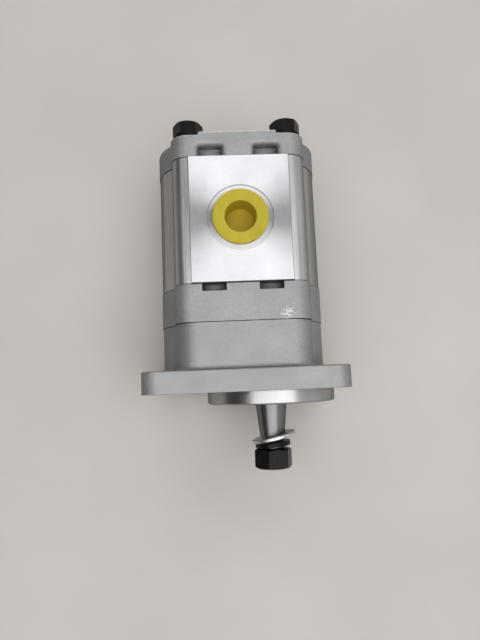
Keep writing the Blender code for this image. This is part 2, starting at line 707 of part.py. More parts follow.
def make_tie_bolts(frame, material):
    head = prism(hexagon(TIE_BOLT_FLATS), 0.0, TIE_BOLT_HEAD)
    bolt = add_object("tie_bolt", head, frame, material)
    blank = hex_blank(TIE_BOLT_FLATS, -CUT_MARGIN, TIE_BOLT_HEAD, False, ROUND_STEPS)
    combine(bolt, "INTERSECT", add_tool("bolt_head_tool", blank, frame))
    shank = cylinder(TIE_BOLT_DIAMETER / 2, BOLT_END_Y - BOLT_HEAD_Y, TIE_BOLT_HEAD / 2, SMALL_STEPS)
    join(bolt, add_tool("bolt_shank_tool", shank, frame))
    places = [(x, BOLT_HEAD_Y, z) for x, z in four_corners(TIE_BOLT_X, TIE_BOLT_Z)]
    place_copies(bolt, [f"tie_bolt_{i}" for i in range(1, 5)], places, TIE_BOLT_TURN)


def make_tie_washers(frame, material):
    ring = split_ring(TIE_BOLT_HOLE_RADIUS, TIE_WASHER_DIAMETER / 2, TIE_WASHER_THICKNESS, 0.0,
                      LOCK_WASHER_SPLIT, SMALL_STEPS)
    washer = add_object("tie_bolt_washer", ring, frame, material)
    middle_y = BOLT_SEAT_Y + JOINT_GAP + TIE_WASHER_THICKNESS / 2
    places = [(x, middle_y, z) for x, z in four_corners(TIE_BOLT_X, TIE_BOLT_Z)]
    place_copies(washer, [f"tie_bolt_washer_{i}" for i in range(1, 5)], places)


def make_dowels(frame, material):
    half_length = DOWEL_LENGTH / 2
    pin_mesh = cylinder(DOWEL_DIAMETER / 2, -half_length, half_length, SMALL_STEPS)
    pin = add_object("dowel", pin_mesh, frame, material)
    joints = (("flange", FRONT_COVER_Y), ("front", BODY_Y), ("rear", REAR_COVER_Y))
    names = [f"{joint}_dowel_{side}" for joint, _ in joints for side in ("upper", "lower")]
    places = [(0, y, side * DOWEL_HEIGHT) for _, y in joints for side in (1, -1)]
    place_copies(pin, names, places)


# Gear chamber

def tang_reach(radius):
    """Half the length of a tang that stays inside its shaft's round."""
    return math.sqrt(radius ** 2 - (TANG_WIDTH / 2) ** 2) - FIT_GAP


def make_gears(drive_axis, driven_axis, material):
    last_y = BODY_END_Y - JOURNAL_INSET
    drive_teeth = prism(gear_outline(math.pi), GEAR_FRONT_Y, GEAR_REAR_Y)
    drive = add_object("drive_gear", drive_teeth, drive_axis, material)
    drive_journals = cylinder(JOURNAL_RADIUS, GEAR_TANG_Y, last_y, INNER_STEPS)
    half_tang, reach = TANG_WIDTH / 2, tang_reach(JOURNAL_RADIUS)
    tip_y = GEAR_TANG_Y - FIT_GAP - TANG_LENGTH
    tang = box((-half_tang, tip_y, -reach), (half_tang, GEAR_TANG_Y + CUT_MARGIN, reach))
    join(drive, add_tool("drive_journal_tool", drive_journals, drive_axis),
         add_tool("gear_tang_tool", tang, drive_axis))
    driven_teeth = prism(gear_outline(math.pi / GEAR_TEETH), GEAR_FRONT_Y, GEAR_REAR_Y)
    driven = add_object("driven_gear", driven_teeth, driven_axis, material)
    driven_journals = cylinder(JOURNAL_RADIUS, BODY_Y + JOURNAL_INSET, last_y, INNER_STEPS)
    join(driven, add_tool("driven_journal_tool", driven_journals, driven_axis))


def axial_seal_outline(width):
    """A strip over both journals on the inlet side, with a dip between them at the mesh."""
    radius = (BUSH_SEAT_RADIUS + DRIVE_X) / 2
    start, end = math.pi + AXIAL_SEAL_END, -AXIAL_SEAL_END
    left = arc((-DRIVE_X, 0.0), radius, start, end, LOBE_STEPS)
    right = arc((DRIVE_X, 0.0), radius, start, end, LOBE_STEPS)
    dip = (0.0, left[-1][1] - SEAL_WIDTH)
    return ribbon_outline(left + [dip] + right, width)


def make_bearing_block(name, y0, groove_y0, groove_y1, frame, material):
    """One bearing block with its two bush seats and the groove for its axial seal."""
    y1 = y0 + BEARING_BLOCK_LENGTH
    block = add_object(name, prism(figure_eight(TIP_RADIUS), y0, y1), frame, material)
    bores = [moved(cylinder(BUSH_SEAT_RADIUS, y0 - CUT_MARGIN, y1 + CUT_MARGIN, INNER_STEPS), x=x)
             for x in (DRIVE_X, -DRIVE_X)]
    groove = prism(axial_seal_outline(SEAL_WIDTH + 2 * FIT_GAP), groove_y0, groove_y1)
    cut(block, add_tool(f"{name}_bore_tool", joined(bores), frame),
        add_tool(f"{name}_groove_tool", groove, frame))


def make_bearing_blocks(frame, material):
    depth = SEAL_THICKNESS + FIT_GAP
    rear_end = REAR_BLOCK_Y + BEARING_BLOCK_LENGTH
    make_bearing_block("front_bearing_block", FRONT_BLOCK_Y, FRONT_BLOCK_Y - CUT_MARGIN,
                       FRONT_BLOCK_Y + depth, frame, material)
    make_bearing_block("rear_bearing_block", REAR_BLOCK_Y, rear_end - depth,
                       rear_end + CUT_MARGIN, frame, material)


def make_bushes(drive_axis, driven_axis, material):
    for end, y0 in (("front", FRONT_BLOCK_Y), ("rear", REAR_BLOCK_Y)):
        for gear, axis in (("drive", drive_axis), ("driven", driven_axis)):
            bush = tube(BUSH_INNER_RADIUS, BUSH_OUTER_RADIUS, y0 + FIT_GAP,
                        y0 + BEARING_BLOCK_LENGTH - FIT_GAP, INNER_STEPS)
            add_object(f"{end}_{gear}_bush", bush, axis, material)


def make_flat_seals(frame, drive_axis, rubber):
    for end, y0 in (("front", BODY_Y - JOINT_GAP - SEAL_THICKNESS), ("rear", REAR_COVER_Y)):
        add_object(f"{end}_body_seal", body_seal_ring(y0, y0 + SEAL_THICKNESS), frame, rubber)
    rear_end = REAR_BLOCK_Y + BEARING_BLOCK_LENGTH
    for end, y0 in (("front", FRONT_BLOCK_Y), ("rear", rear_end - SEAL_THICKNESS)):
        strip = prism(axial_seal_outline(SEAL_WIDTH), y0, y0 + SEAL_THICKNESS)
        add_object(f"{end}_axial_seal", strip, frame, rubber)
    ring = flange_seal_ring(FRONT_COVER_Y, FRONT_COVER_Y + SEAL_THICKNESS)
    add_object("flange_seal", ring, drive_axis, rubber)


def lip_seal(outside, land, y0):
    """A lip seal: an outer case, a back wall and a lip that reaches forward along the shaft."""
    y1 = y0 + SHAFT_SEAL_WIDTH
    back_y = y1 - SEAL_LIP
    case_radius, lip_radius = outside / 2, land / 2 + RUNNING_GAP
    profile = [
        (y0, case_radius - SEAL_CASE), (y0, case_radius), (y1, case_radius), (y1, lip_radius + SEAL_LIP),
        (y0 + 2 * SEAL_LIP, lip_radius), (y0 + SEAL_LIP, lip_radius), (y0 + SEAL_LIP, lip_radius + SEAL_LIP),
        (back_y, lip_radius + 2 * SEAL_LIP), (back_y, case_radius - SEAL_CASE)]
    return turned(profile, INNER_STEPS, closed=True)


def make_shaft_seals(drive_axis, rubber):
    outer = lip_seal(SHAFT_SEAL_OUTSIDE, SEAL_LAND_DIAMETER, SHAFT_SEAL_Y)
    add_object("shaft_seal", outer, drive_axis, rubber)
    inner = lip_seal(INNER_SEAL_OUTSIDE, JOURNAL_DIAMETER, FRONT_COVER_Y + FIT_GAP)
    add_object("inner_shaft_seal", inner, drive_axis, rubber)


# Outboard bearing

def race(bore_or_outside, side):
    """One race of the ball bearing. side is 1 for the outer race and -1 for the inner."""
    shoulder = BALL_CIRCLE_RADIUS + side * RACE_SHOULDER
    groove_radius = BALL_DIAMETER / 2 + FIT_GAP
    middle_y = (BEARING_Y + BEARING_END_Y) / 2
    reach = math.acos(RACE_SHOULDER / groove_radius)
    profile = [(BEARING_END_Y, shoulder), (BEARING_END_Y, bore_or_outside),
               (BEARING_Y, bore_or_outside), (BEARING_Y, shoulder)]
    for i in range(GROOVE_STEPS + 1):
        angle = -reach + 2 * reach * i / GROOVE_STEPS
        profile.append((middle_y + groove_radius * math.sin(angle),
                        BALL_CIRCLE_RADIUS + side * groove_radius * math.cos(angle)))
    return turned(profile, INNER_STEPS, closed=True)


def make_bearing(drive_axis, steel, bronze):
    add_object("bearing_outer_race", race(BEARING_OUTSIDE / 2, 1), drive_axis, steel)
    add_object("bearing_inner_race", race(BEARING_BORE / 2 + FIT_GAP, -1), drive_axis, steel)
    middle_y = (BEARING_Y + BEARING_END_Y) / 2
    pocket_radius = BALL_DIAMETER / 2 + FIT_GAP
    half_wall, half_width = RACE_SHOULDER - FIT_GAP, pocket_radius + CAGE_RIM
    ring = tube(BALL_CIRCLE_RADIUS - half_wall, BALL_CIRCLE_RADIUS + half_wall,
                middle_y - half_width, middle_y + half_width, 2 * BALL_COUNT)
    cage = add_object("bearing_cage", ring, drive_axis, bronze)
    hole_start, hole_end = BALL_CIRCLE_RADIUS - 2 * half_wall, BALL_CIRCLE_RADIUS + 2 * half_wall
    pockets = []
    for i in range(BALL_COUNT):
        angle = 2 * math.pi * i / BALL_COUNT
        hole = rotated(cylinder(pocket_radius, hole_start, hole_end, BALL_STEPS), -math.pi / 2, "Z")
        pockets.append(moved(rotated(hole, -angle, "Y"), y=middle_y))
        ball = bmesh.new()
        bmesh.ops.create_uvsphere(ball, u_segments=BALL_STEPS, v_segments=BALL_STEPS // 2,
                                  radius=BALL_DIAMETER / 2)
        placed = add_object(f"bearing_ball_{i + 1}", ball, drive_axis, steel)
        placed.location = (BALL_CIRCLE_RADIUS * math.cos(angle), middle_y,
                           BALL_CIRCLE_RADIUS * math.sin(angle))
    cut(cage, add_tool("cage_pocket_tool", joined(pockets), drive_axis))


def make_circlips(drive_axis, material):
    """Internal retaining rings, open at the bottom."""
    rings = (("seal_circlip", SHAFT_SEAL_SEAT_RADIUS, SEAL_CIRCLIP_Y),
             ("bearing_circlip", BEARING_SEAT_RADIUS, BEARING_CIRCLIP_Y))
    for name, seat_radius, y0 in rings:
        outer = seat_radius + CIRCLIP_GROOVE - FIT_GAP
        ring = split_ring(outer - CIRCLIP_WIDTH, outer, CIRCLIP_THICKNESS, 0.0,
                          CIRCLIP_OPENING, INNER_STEPS)
        add_object(name, moved(ring, y=y0 + CIRCLIP_THICKNESS / 2), drive_axis, material)


# Input shaft and what is on it

def make_input_shaft(drive_axis, material):
    land, seat = SEAL_LAND_DIAMETER / 2, BEARING_BORE / 2
    thread = SHAFT_THREAD_DIAMETER / 2
    undercut_y, seat_y = TAPER_END_Y - UNDERCUT_LENGTH, BEARING_Y - FIT_GAP
    profile = [
        (SHAFT_END_Y, 0), (SHAFT_END_Y, thread - THREAD_LEAD_IN), (SHAFT_END_Y + THREAD_LEAD_IN, thread),
        (undercut_y, thread), (undercut_y, thread - UNDERCUT_DEPTH), (TAPER_END_Y, thread - UNDERCUT_DEPTH),
        (TAPER_END_Y, TAPER_SMALL_DIAMETER / 2), (TAPER_START_Y, TAPER_LARGE_DIAMETER / 2),
        (TAPER_START_Y, land), (seat_y, land), (seat_y, seat), (SHAFT_SHOULDER_Y, seat),
        (SHAFT_SHOULDER_Y, SHAFT_SHOULDER_RADIUS), (INPUT_TANG_Y, SHAFT_SHOULDER_RADIUS), (INPUT_TANG_Y, 0)]
    shaft = add_object("input_shaft", turned(profile, ROUND_STEPS), drive_axis, material)
    half_tang, reach = TANG_WIDTH / 2, tang_reach(SHAFT_SHOULDER_RADIUS)
    root_y, tip_y = INPUT_TANG_Y - SHAFT_SHOULDER_LENGTH / 2, INPUT_TANG_Y + TANG_LENGTH
    tang = box((-reach, root_y, -half_tang), (reach, tip_y, half_tang))
    join(shaft, add_tool("input_tang_tool", tang, drive_axis))
    slot = key_disc(KEY_RADIUS + FIT_GAP, KEY_WIDTH + 2 * FIT_GAP)
    cut(shaft, add_tool("key_slot_tool", slot, drive_axis))


def key_disc(radius, width):
    disc = rotated(cylinder(radius, -width / 2, width / 2, INNER_STEPS), math.pi / 2, "Z")
    return moved(disc, y=KEY_Y, z=KEY_FLAT_Z - KEY_CHORD_OFFSET)


def make_woodruff_key(drive_axis, material):
    key = add_object("woodruff_key", key_disc(KEY_RADIUS, KEY_WIDTH), drive_axis, material)
    span = 2 * KEY_RADIUS
    keep = box((-KEY_WIDTH, KEY_Y - span, KEY_FLAT_Z), (KEY_WIDTH, KEY_Y + span, KEY_FLAT_Z + span))
    combine(key, "INTERSECT", add_tool("key_flat_tool", keep, drive_axis))


def make_coupling(drive_axis, material):
    """A cross-slotted disc between the tang of the input shaft and the tang of the drive gear."""
    blank = cylinder(SHAFT_SHOULDER_RADIUS, COUPLING_Y, COUPLING_END_Y, INNER_STEPS)
    coupling = add_object("drive_coupling", blank, drive_axis, material)
    half_slot, across = TANG_WIDTH / 2 + FIT_GAP, SHAFT_SHOULDER_RADIUS + CUT_MARGIN
    front_floor, rear_floor = COUPLING_Y + SLOT_DEPTH, COUPLING_END_Y - SLOT_DEPTH
    front = box((-across, COUPLING_Y - CUT_MARGIN, -half_slot), (across, front_floor, half_slot))
    rear = box((-half_slot, rear_floor, -across), (half_slot, COUPLING_END_Y + CUT_MARGIN, across))
    cut(coupling, add_tool("coupling_front_tool", front, drive_axis),
        add_tool("coupling_rear_tool", rear, drive_axis))


def make_shaft_nut(drive_axis, material):
    hex_bar = prism(hexagon(NUT_FLATS, NUT_TURN), NUT_FRONT_Y, NUT_REAR_Y)
    nut = add_object("shaft_nut", hex_bar, drive_axis, material)
    blank = hex_blank(NUT_FLATS, NUT_FRONT_Y, NUT_REAR_Y, True, ROUND_STEPS)
    combine(nut, "INTERSECT", add_tool("nut_blank_tool", blank, drive_axis))
    bore = cylinder(THREAD_CLEAR_RADIUS, NUT_FRONT_Y - CUT_MARGIN, NUT_REAR_Y + CUT_MARGIN, ROUND_STEPS)
    cut(nut, add_tool("nut_bore_tool", bore, drive_axis))


def make_shaft_washers(drive_axis, black_steel, zinc):
    spring = split_ring(THREAD_CLEAR_RADIUS, LOCK_WASHER_DIAMETER / 2, LOCK_WASHER_THICKNESS,
                        LOCK_WASHER_RISE, LOCK_WASHER_SPLIT, ROUND_STEPS)
    lock_washer = add_object("lock_washer", spring, drive_axis, black_steel)
    lock_washer.location = (0, LOCK_WASHER_Y + (LOCK_WASHER_THICKNESS + LOCK_WASHER_RISE) / 2, 0)
    lock_washer.rotation_euler = (0, 0, LOCK_WASHER_TILT)
    half = FLAT_WASHER_THICKNESS / 2
    ring = tube(FLAT_WASHER_HOLE / 2, FLAT_WASHER_DIAMETER / 2, -half, half, ROUND_STEPS)
    flat_washer = add_object("flat_washer", ring, drive_axis, zinc)
    flat_washer.location = (FLAT_WASHER_SHIFT, FLAT_WASHER_Y, -FLAT_WASHER_DROP)
    flat_washer.rotation_euler = (0, 0, FLAT_WASHER_TILT)


# Port plugs

def make_port_plug(name, side, thread, frame, material):
    """A push-in cup whose rim lies on the spotface, its axis along z."""
    rim_y = FIT_GAP - SPOTFACE_DEPTH
    top_y, bottom_y = rim_y + PLUG_RIM_THICKNESS, rim_y - PLUG_DEPTH
    floor_y = bottom_y + PLUG_FLOOR
    radius = thread / 2 - FIT_GAP
    rim, recess = thread / 2 + PLUG_RIM_OVERHANG, radius - PLUG_WALL
    profile = [
        (bottom_y, 0), (bottom_y, radius - PLUG_DRAFT), (rim_y, radius), (rim_y, rim), (top_y, rim),
        (top_y, recess), (floor_y, recess - PLUG_DRAFT), (floor_y, 0)]
    plug = add_object(name, turned(profile, ROUND_STEPS), frame, material)
    plug.rotation_euler = (side * math.pi / 2, 0, 0)
    plug.location = (0, PORT_Y, side * PORT_FACE_HEIGHT)


def main():
    clear_scene()
    cast = new_material("cast aluminium", (0.40, 0.41, 0.42), 0.55, 0.6)
    extruded = new_material("extruded aluminium", (0.55, 0.56, 0.57), 0.40, 0.9)
    steel = new_material("ground steel", (0.56, 0.56, 0.55), 0.28, 1.0)
    black = new_material("black oxide steel", (0.02, 0.02, 0.022), 0.42, 0.5)
    zinc = new_material("zinc plated steel", (0.62, 0.63, 0.62), 0.35, 1.0)
    bronze = new_material("bronze", (0.55, 0.38, 0.20), 0.40, 1.0)
    rubber = new_material("nitrile rubber", (0.02, 0.02, 0.02), 0.70, 0.0)
    yellow = new_material("yellow plastic", (0.62, 0.52, 0.03), 0.45, 0.0)

    frame = new_empty("pump_frame", (0, MOUNT_FACE_Y, AXIS_HEIGHT))
    drive_axis = new_empty("drive_axis", (DRIVE_X, 0, 0), frame)
    driven_axis = new_empty("driven_axis", (-DRIVE_X, 0, 0), frame)
    shared_tools = (make_bolt_hole_tool(frame), make_dowel_hole_tool(frame))

    make_mounting_flange(frame, drive_axis, shared_tools, cast)
    make_front_cover(frame, drive_axis, shared_tools, cast)
    make_pump_body(frame, shared_tools, extruded)
    make_rear_cover(frame, shared_tools, cast)
    make_tie_bolts(frame, black)
    make_tie_washers(frame, black)
    make_dowels(frame, steel)
    make_gears(drive_axis, driven_axis, steel)
    make_bearing_blocks(frame, extruded)
    make_bushes(drive_axis, driven_axis, bronze)
    make_flat_seals(frame, drive_axis, rubber)
    make_shaft_seals(drive_axis, rubber)
    make_bearing(drive_axis, steel, bronze)
    make_circlips(drive_axis, steel)
    make_input_shaft(drive_axis, steel)
    make_woodruff_key(drive_axis, steel)
    make_coupling(drive_axis, steel)
    make_shaft_nut(drive_axis, black)
    make_shaft_washers(drive_axis, black, zinc)
    make_port_plug("inlet_plug", 1, INLET_THREAD_DIAMETER, frame, yellow)
    make_port_plug("outlet_plug", -1, OUTLET_THREAD_DIAMETER, frame, yellow)


main()
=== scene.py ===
"""Looks of the hydraulic gear pump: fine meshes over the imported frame, and a finish for every face.

Units are metres, in the frame's own coordinates: +Y runs along the shaft towards the rear cover and
+Z points up through the inlet port. Outlines are (x, z) points about the middle between the axes of
the two gears.
"""

import json
import math

import bmesh
import bpy
from mathutils import Matrix, Vector


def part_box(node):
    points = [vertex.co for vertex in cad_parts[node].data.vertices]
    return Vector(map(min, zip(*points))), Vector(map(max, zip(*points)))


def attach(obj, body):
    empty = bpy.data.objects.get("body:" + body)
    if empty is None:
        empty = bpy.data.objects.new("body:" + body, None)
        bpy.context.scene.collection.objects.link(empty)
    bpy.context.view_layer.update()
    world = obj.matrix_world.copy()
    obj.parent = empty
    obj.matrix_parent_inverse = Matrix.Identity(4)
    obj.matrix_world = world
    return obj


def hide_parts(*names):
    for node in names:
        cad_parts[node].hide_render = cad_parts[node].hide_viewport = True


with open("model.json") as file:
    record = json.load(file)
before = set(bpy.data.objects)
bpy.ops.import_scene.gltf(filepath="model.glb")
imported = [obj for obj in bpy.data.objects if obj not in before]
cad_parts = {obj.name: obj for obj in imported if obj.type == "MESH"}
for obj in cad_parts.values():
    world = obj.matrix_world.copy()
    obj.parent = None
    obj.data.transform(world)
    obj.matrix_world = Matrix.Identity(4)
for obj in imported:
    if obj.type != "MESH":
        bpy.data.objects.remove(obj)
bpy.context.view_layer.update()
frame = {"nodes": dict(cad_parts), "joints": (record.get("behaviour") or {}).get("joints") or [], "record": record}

# Places and sizes from the frame
JOINTS = {joint["name"]: joint for joint in frame["joints"]}
DRIVE_AXIS = Vector(JOINTS["shaft_spin"]["pos_m"])
DRIVE_X, AXIS_Z = DRIVE_AXIS.x, DRIVE_AXIS.z
FLANGE_LOW, FLANGE_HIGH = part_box("mounting_flange")
FRONT_LOW, FRONT_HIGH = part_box("front_cover")
BODY_LOW, BODY_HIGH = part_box("pump_body")
REAR_LOW, REAR_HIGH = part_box("rear_cover")
SHAFT_LOW, SHAFT_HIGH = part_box("input_shaft")
NUT_LOW, NUT_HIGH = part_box("shaft_nut")
PORT_Y = sum(corner.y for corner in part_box("inlet_plug")) / 2
PORT_FACE = BODY_HIGH.z - AXIS_Z

# Edges and gaps
BROKEN_EDGE = 0.0003
SEAM_EDGE = 0.0002
CAST_EDGE = 0.0011
FIT_GAP = 0.0003
OVERLAP = 0.002
WELD = 1e-6
ON_FACE = 0.0001

# Housing cross-section
BLOCK_WIDTH = 0.0796
BLOCK_HEIGHT = 0.0826
BLOCK_CORNER = 0.0102
COVER_OVERHANG = 0.0004
LOBE_RADIUS = BODY_HIGH.x - DRIVE_X
LOBE_FILLET = 0.0006
LEAST_FILLET = 0.0002

# Flange and pilot
PILOT_HEIGHT = 0.008
PILOT_RADIUS = 0.040
PILOT_CHAMFER = 0.0008
MOUNT_Y = FLANGE_LOW.y + PILOT_HEIGHT
FLANGE_THICKNESS = 0.013
FLANGE_CORNER = 0.010
FLANGE_FILLET = 0.0025
FLANGE_BLOCK_CORNER = 0.013
FLANGE_HOLE_RADIUS = 0.0045
FLANGE_HOLE_X = 0.050
FLANGE_HOLE_Z = 0.036
BORE_RADIUS = 0.0203
BORE_WEB = 0.003
CIRCLIP_GROOVE = 0.0012
CIRCLIP_WIDTH = 0.0030
CIRCLIP_OPENING = math.radians(28)
EYE_RADIUS = 0.0029
EYE_HOLE = 0.00125

# Ports and plugs
PAD_WIDTH = 0.0590
SPOTFACE_DEPTH = 0.0008
THREAD_DEPTH = 0.017
PORTS = {
    "inlet": {"side": 1, "spotface": 0.0386, "thread": 0.0270, "passage": 0.0200},
    "outlet": {"side": -1, "spotface": 0.0330, "thread": 0.0220, "passage": 0.0150}}
PORT_THREAD_PITCH = 0.0018
PORT_THREAD_HEIGHT = 0.0009
PORT_THREAD_CREST = 1 / 4
CHAMBER_RADIUS = 0.01905
PLUG_RIM_OVERHANG = 0.00285
PLUG_RIM_THICKNESS = 0.0022
PLUG_DEPTH = 0.0110
PLUG_WALL = 0.00395
PLUG_FLOOR = 0.0016
PLUG_DRAFT = 0.0012
PLUG_EDGE = 0.0005

# Pockets in the covers
POCKET_OUTER_EDGE = 0.0234
POCKET_DEPTH = 0.0060
POCKET_DRAFT = 0.0004
REAR_POCKET = {"width": 0.0138, "length": 0.0066, "mouth": 0.0032, "corner": 0.0009}
FRONT_POCKET = {"width": 0.0138, "length": 0.0043, "mouth": 0.0004, "corner": 0.0004}

# Tie bolts
BOLT_X = BLOCK_WIDTH / 2 - BLOCK_CORNER
BOLT_Z = BLOCK_HEIGHT / 2 - BLOCK_CORNER
BOLT_RADIUS = 0.005
BOLT_FLATS = 0.016
BOLT_HEAD = 0.0074
BOLT_TURN = math.radians(3)
SEAT_RADIUS = 0.0125
SEAT_DEPTH = 0.0020
SEAT_Y = REAR_HIGH.y - SEAT_DEPTH
SEAT_EDGE = CAST_EDGE / 2
WASHER_RADIUS = 0.00905
WASHER_HOLE = 0.0053
WASHER_SPLIT = math.radians(9)

# Shaft
TAPER_LARGE = 0.010
TAPER_LENGTH = 0.0222
TAPER_START = -0.0070
TAPER_RATIO = 0.2
CENTRE_DRILL = 0.0022
SEAL_LAND = 0.011
BEARING_SEAT_START = 0.0059
BEARING_SEAT_RADIUS = 0.0125
COLLAR_RADIUS = 0.015
COLLAR_LENGTH = 0.003
TANG_LENGTH = 0.006
TANG_SPAN = 0.0283
TANG_THICKNESS = 0.008
TANG_ROOT = 0.002
THREAD_RADIUS = 0.007
THREAD_PITCH = 0.0015
THREAD_HEIGHT = 0.0008
THREAD_CREST = 1 / 6
UNDERCUT_LENGTH = 0.0015
KEY_RADIUS = 0.008
KEY_CHORD_OFFSET = 0.0015
KEY_SLOT_MOUTH = 0.0012

# Nut and washers on the shaft
NUT_FLATS = 0.021
NUT_TURN = math.radians(-12)
NUT_BORE = 0.0073
HEX_CHAMFER = math.radians(30)
LOCK_WASHER_RADIUS = 0.0111
LOCK_WASHER_THICKNESS = 0.0027
LOCK_WASHER_RISE = 0.0008
LOCK_WASHER_TILT = math.radians(3.5)
FLAT_WASHER_RADIUS = 0.014
FLAT_WASHER_HOLE = 0.0086
FLAT_WASHER_THICKNESS = 0.0022
FLAT_WASHER_TILT = math.radians(12)

# Facets
FINE = 96
ROUND = 48
LOBE = 40
CORNER = 12
FILLET = 6
HEX_EDGE = 3
SECTION_EDGE = 2
SHARP_EDGE = math.radians(32)

# Pieces on which the exact Boolean solver leaves open edges
MANIFOLD_PIECES = ("body_extrusion", "rear_cover_casting")

# Where a second finish goes, by how far a face's normal leans along an axis
# Slope of the dressed edges that also carry a painted highlight
DRESSED_AND_GLINT_SLOPE = (0.2, 0.97)
MILLED_SLOPE = 0.99
MILLED_DEPTH = 1.5 * SPOTFACE_DEPTH

# Finishes
SCUFF_PLACE = (0.0248, FRONT_LOW.y + 0.0037, FRONT_HIGH.z)
# Near black painted into hollows as shade
HOLLOW_PAINTED_SHADE = (0.05, 0.05, 0.05, 1.0)
BRIGHT_SCRATCH = (0.66, 0.66, 0.67, 1.0)
# Darker, deeper yellow painted into the plug's hollow as shade
HOLLOW_SHADE_YELLOW = (0.39, 0.275, 0.013, 1.0)
NOISE_RANGE = (0.3, 0.7)
AIR_SAMPLES = 8
MARK_SHADE = 0.86
MARK_ROUGHNESS = 0.15

# Camera
CAMERA_PLACE = Vector((DRIVE_X - 0.028354, MOUNT_Y + 0.006748, AXIS_Z + 0.328876))
CAMERA_RIGHT = Vector((0.9987876, -0.0405065, 0.0279752))
CAMERA_UP = Vector((0.0369880, 0.9924996, 0.1165182))
CAMERA_BACK = Vector((-0.0324851, -0.1153422, 0.9927945))
CAMERA_NEAR = 0.01
FOCAL_PIXELS = 510.712
IMAGE_HEIGHT = 640
SENSOR = 36.0

# Floor and light
FLOOR_REACH = 3.0
SKY_BRIGHTEST = (1.0, 0.0, 0.35)
SKY_DARK = (0.05, 0.051, 0.054, 1.0)
SKY_MIDDLE = (0.07, 0.071, 0.075, 1.0)
SKY_LIGHT = (0.70, 0.70, 0.71, 1.0)
SOFTBOX_RADIANCE = 2.1
SOFTBOXES = (
    ("front overhead", (0.0, -0.50, 1.5), (2.3, 1.6)),
    ("rear overhead", (0.0, 1.60, 1.5), (2.3, 1.2)),
    ("left overhead", (-1.5, 0.65, 1.5), (0.4, 0.8)),
    ("right overhead", (1.2, 0.65, 1.5), (0.1, 0.7)))


# Outlines

def arc(centre, radius, start, end, steps):
    """Points on an arc, both ends included."""
    angles = [start + (end - start) * i / steps for i in range(steps + 1)]
    return [(centre[0] + radius * math.cos(a), centre[1] + radius * math.sin(a)) for a in angles]


def circle(radius, steps):
    return arc((0.0, 0.0), radius, 0.0, 2 * math.pi, steps)[:-1]


def rounded_rectangle(width, height, corner, steps=CORNER):
    points = []
    for quarter, (side_x, side_z) in enumerate(((1, 1), (-1, 1), (-1, -1), (1, -1))):
        centre = (side_x * (width / 2 - corner), side_z * (height / 2 - corner))
        start = quarter * math.pi / 2
        points += arc(centre, corner, start, start + math.pi / 2, steps)
    return points


def rounded_section(width, height, edge):
    """(across, along) points of a rectangle that runs across from 0 to width."""
    return [(width / 2 + across, along)
            for across, along in rounded_rectangle(width, height, edge, SECTION_EDGE)]


def housing_outline(grow=0.0, corner=BLOCK_CORNER):
    """The block with its rounded corners and a round lobe about each gear axis, grown all round."""
    lobe = LOBE_RADIUS + grow
    fillet = max(LOBE_FILLET - grow, LEAST_FILLET)
    fillet_x = BLOCK_WIDTH / 2 + grow + fillet
    reach = math.acos((fillet_x - DRIVE_X) / (lobe + fillet))
    fillet_z = (lobe + fillet) * math.sin(reach)
    centre_x, centre_z = BLOCK_WIDTH / 2 - corner, BLOCK_HEIGHT / 2 - corner
    points = []
    for turn in (0.0, math.pi):
        side = math.cos(turn)
        back = turn + math.pi
        points += arc((side * fillet_x, -side * fillet_z), fillet, back, back - reach, FILLET)
        points += arc((side * DRIVE_X, 0.0), lobe, turn - reach, turn + reach, LOBE)[1:-1]
        points += arc((side * fillet_x, side * fillet_z), fillet, back + reach, back, FILLET)
        for quarter, side_x in enumerate((side, -side)):
            start = turn + quarter * math.pi / 2
            points += arc((side_x * centre_x, side * centre_z), corner + grow, start,
                          start + math.pi / 2, CORNER)
    return points


def cover_outline(grow):
    return housing_outline(COVER_OVERHANG + grow)


def flange_outline(grow):
    return rounded_rectangle(FLANGE_HIGH.x - FLANGE_LOW.x + 2 * grow,
                             FLANGE_HIGH.z - FLANGE_LOW.z + 2 * grow, FLANGE_CORNER + grow)


def hexagon(flats, turn):
    """A hexagon with slightly rounded corners."""
    reach = (flats / 2 - BROKEN_EDGE) / math.cos(math.pi / 6)
    points = []
    for i in range(6):
        angle = turn + i * math.pi / 3
        centre = (reach * math.cos(angle), reach * math.sin(angle))
        points += arc(centre, BROKEN_EDGE, angle - math.pi / 6, angle + math.pi / 6, HEX_EDGE)
    return points


def quarter_round(edge):
    """(along, across) points of a quarter circle, from (0, edge) to (edge, 0)."""
    angles = [math.pi / 2 * i / FILLET for i in range(FILLET + 1)]
    return [(edge * (1 - math.cos(a)), edge * (1 - math.sin(a))) for a in angles]


# Meshes

def skin(rows):
    """Quads between closed rows of points that have the same count, with flat ends."""
    mesh = bmesh.new()
    loops = [[mesh.verts.new(point) for point in row] for row in rows]
    count = len(loops[0])
    for first, second in zip(loops, loops[1:]):
        for i in range(count):
            j = (i + 1) % count
            mesh.faces.new((first[i], first[j], second[j], second[i]))
    mesh.faces.new(loops[0])
    mesh.faces.new(loops[-1])
    bmesh.ops.recalc_face_normals(mesh, faces=mesh.faces)
    return mesh


def loft(sections):
    """A closed solid through (outline, y) sections."""
    return skin([[(x, y, z + AXIS_Z) for x, z in outline] for outline, y in sections])


def edged_prism(outline_of, y0, y1, front_edge, rear_edge):
    """A prism whose ends are rounded over. outline_of(grow) gives its outline."""
    sections = [(outline_of(-along), y0 + across)
                for along, across in reversed(quarter_round(front_edge))]
    sections += [(outline_of(-along), y1 - across) for along, across in quarter_round(rear_edge)]
    return loft(sections)


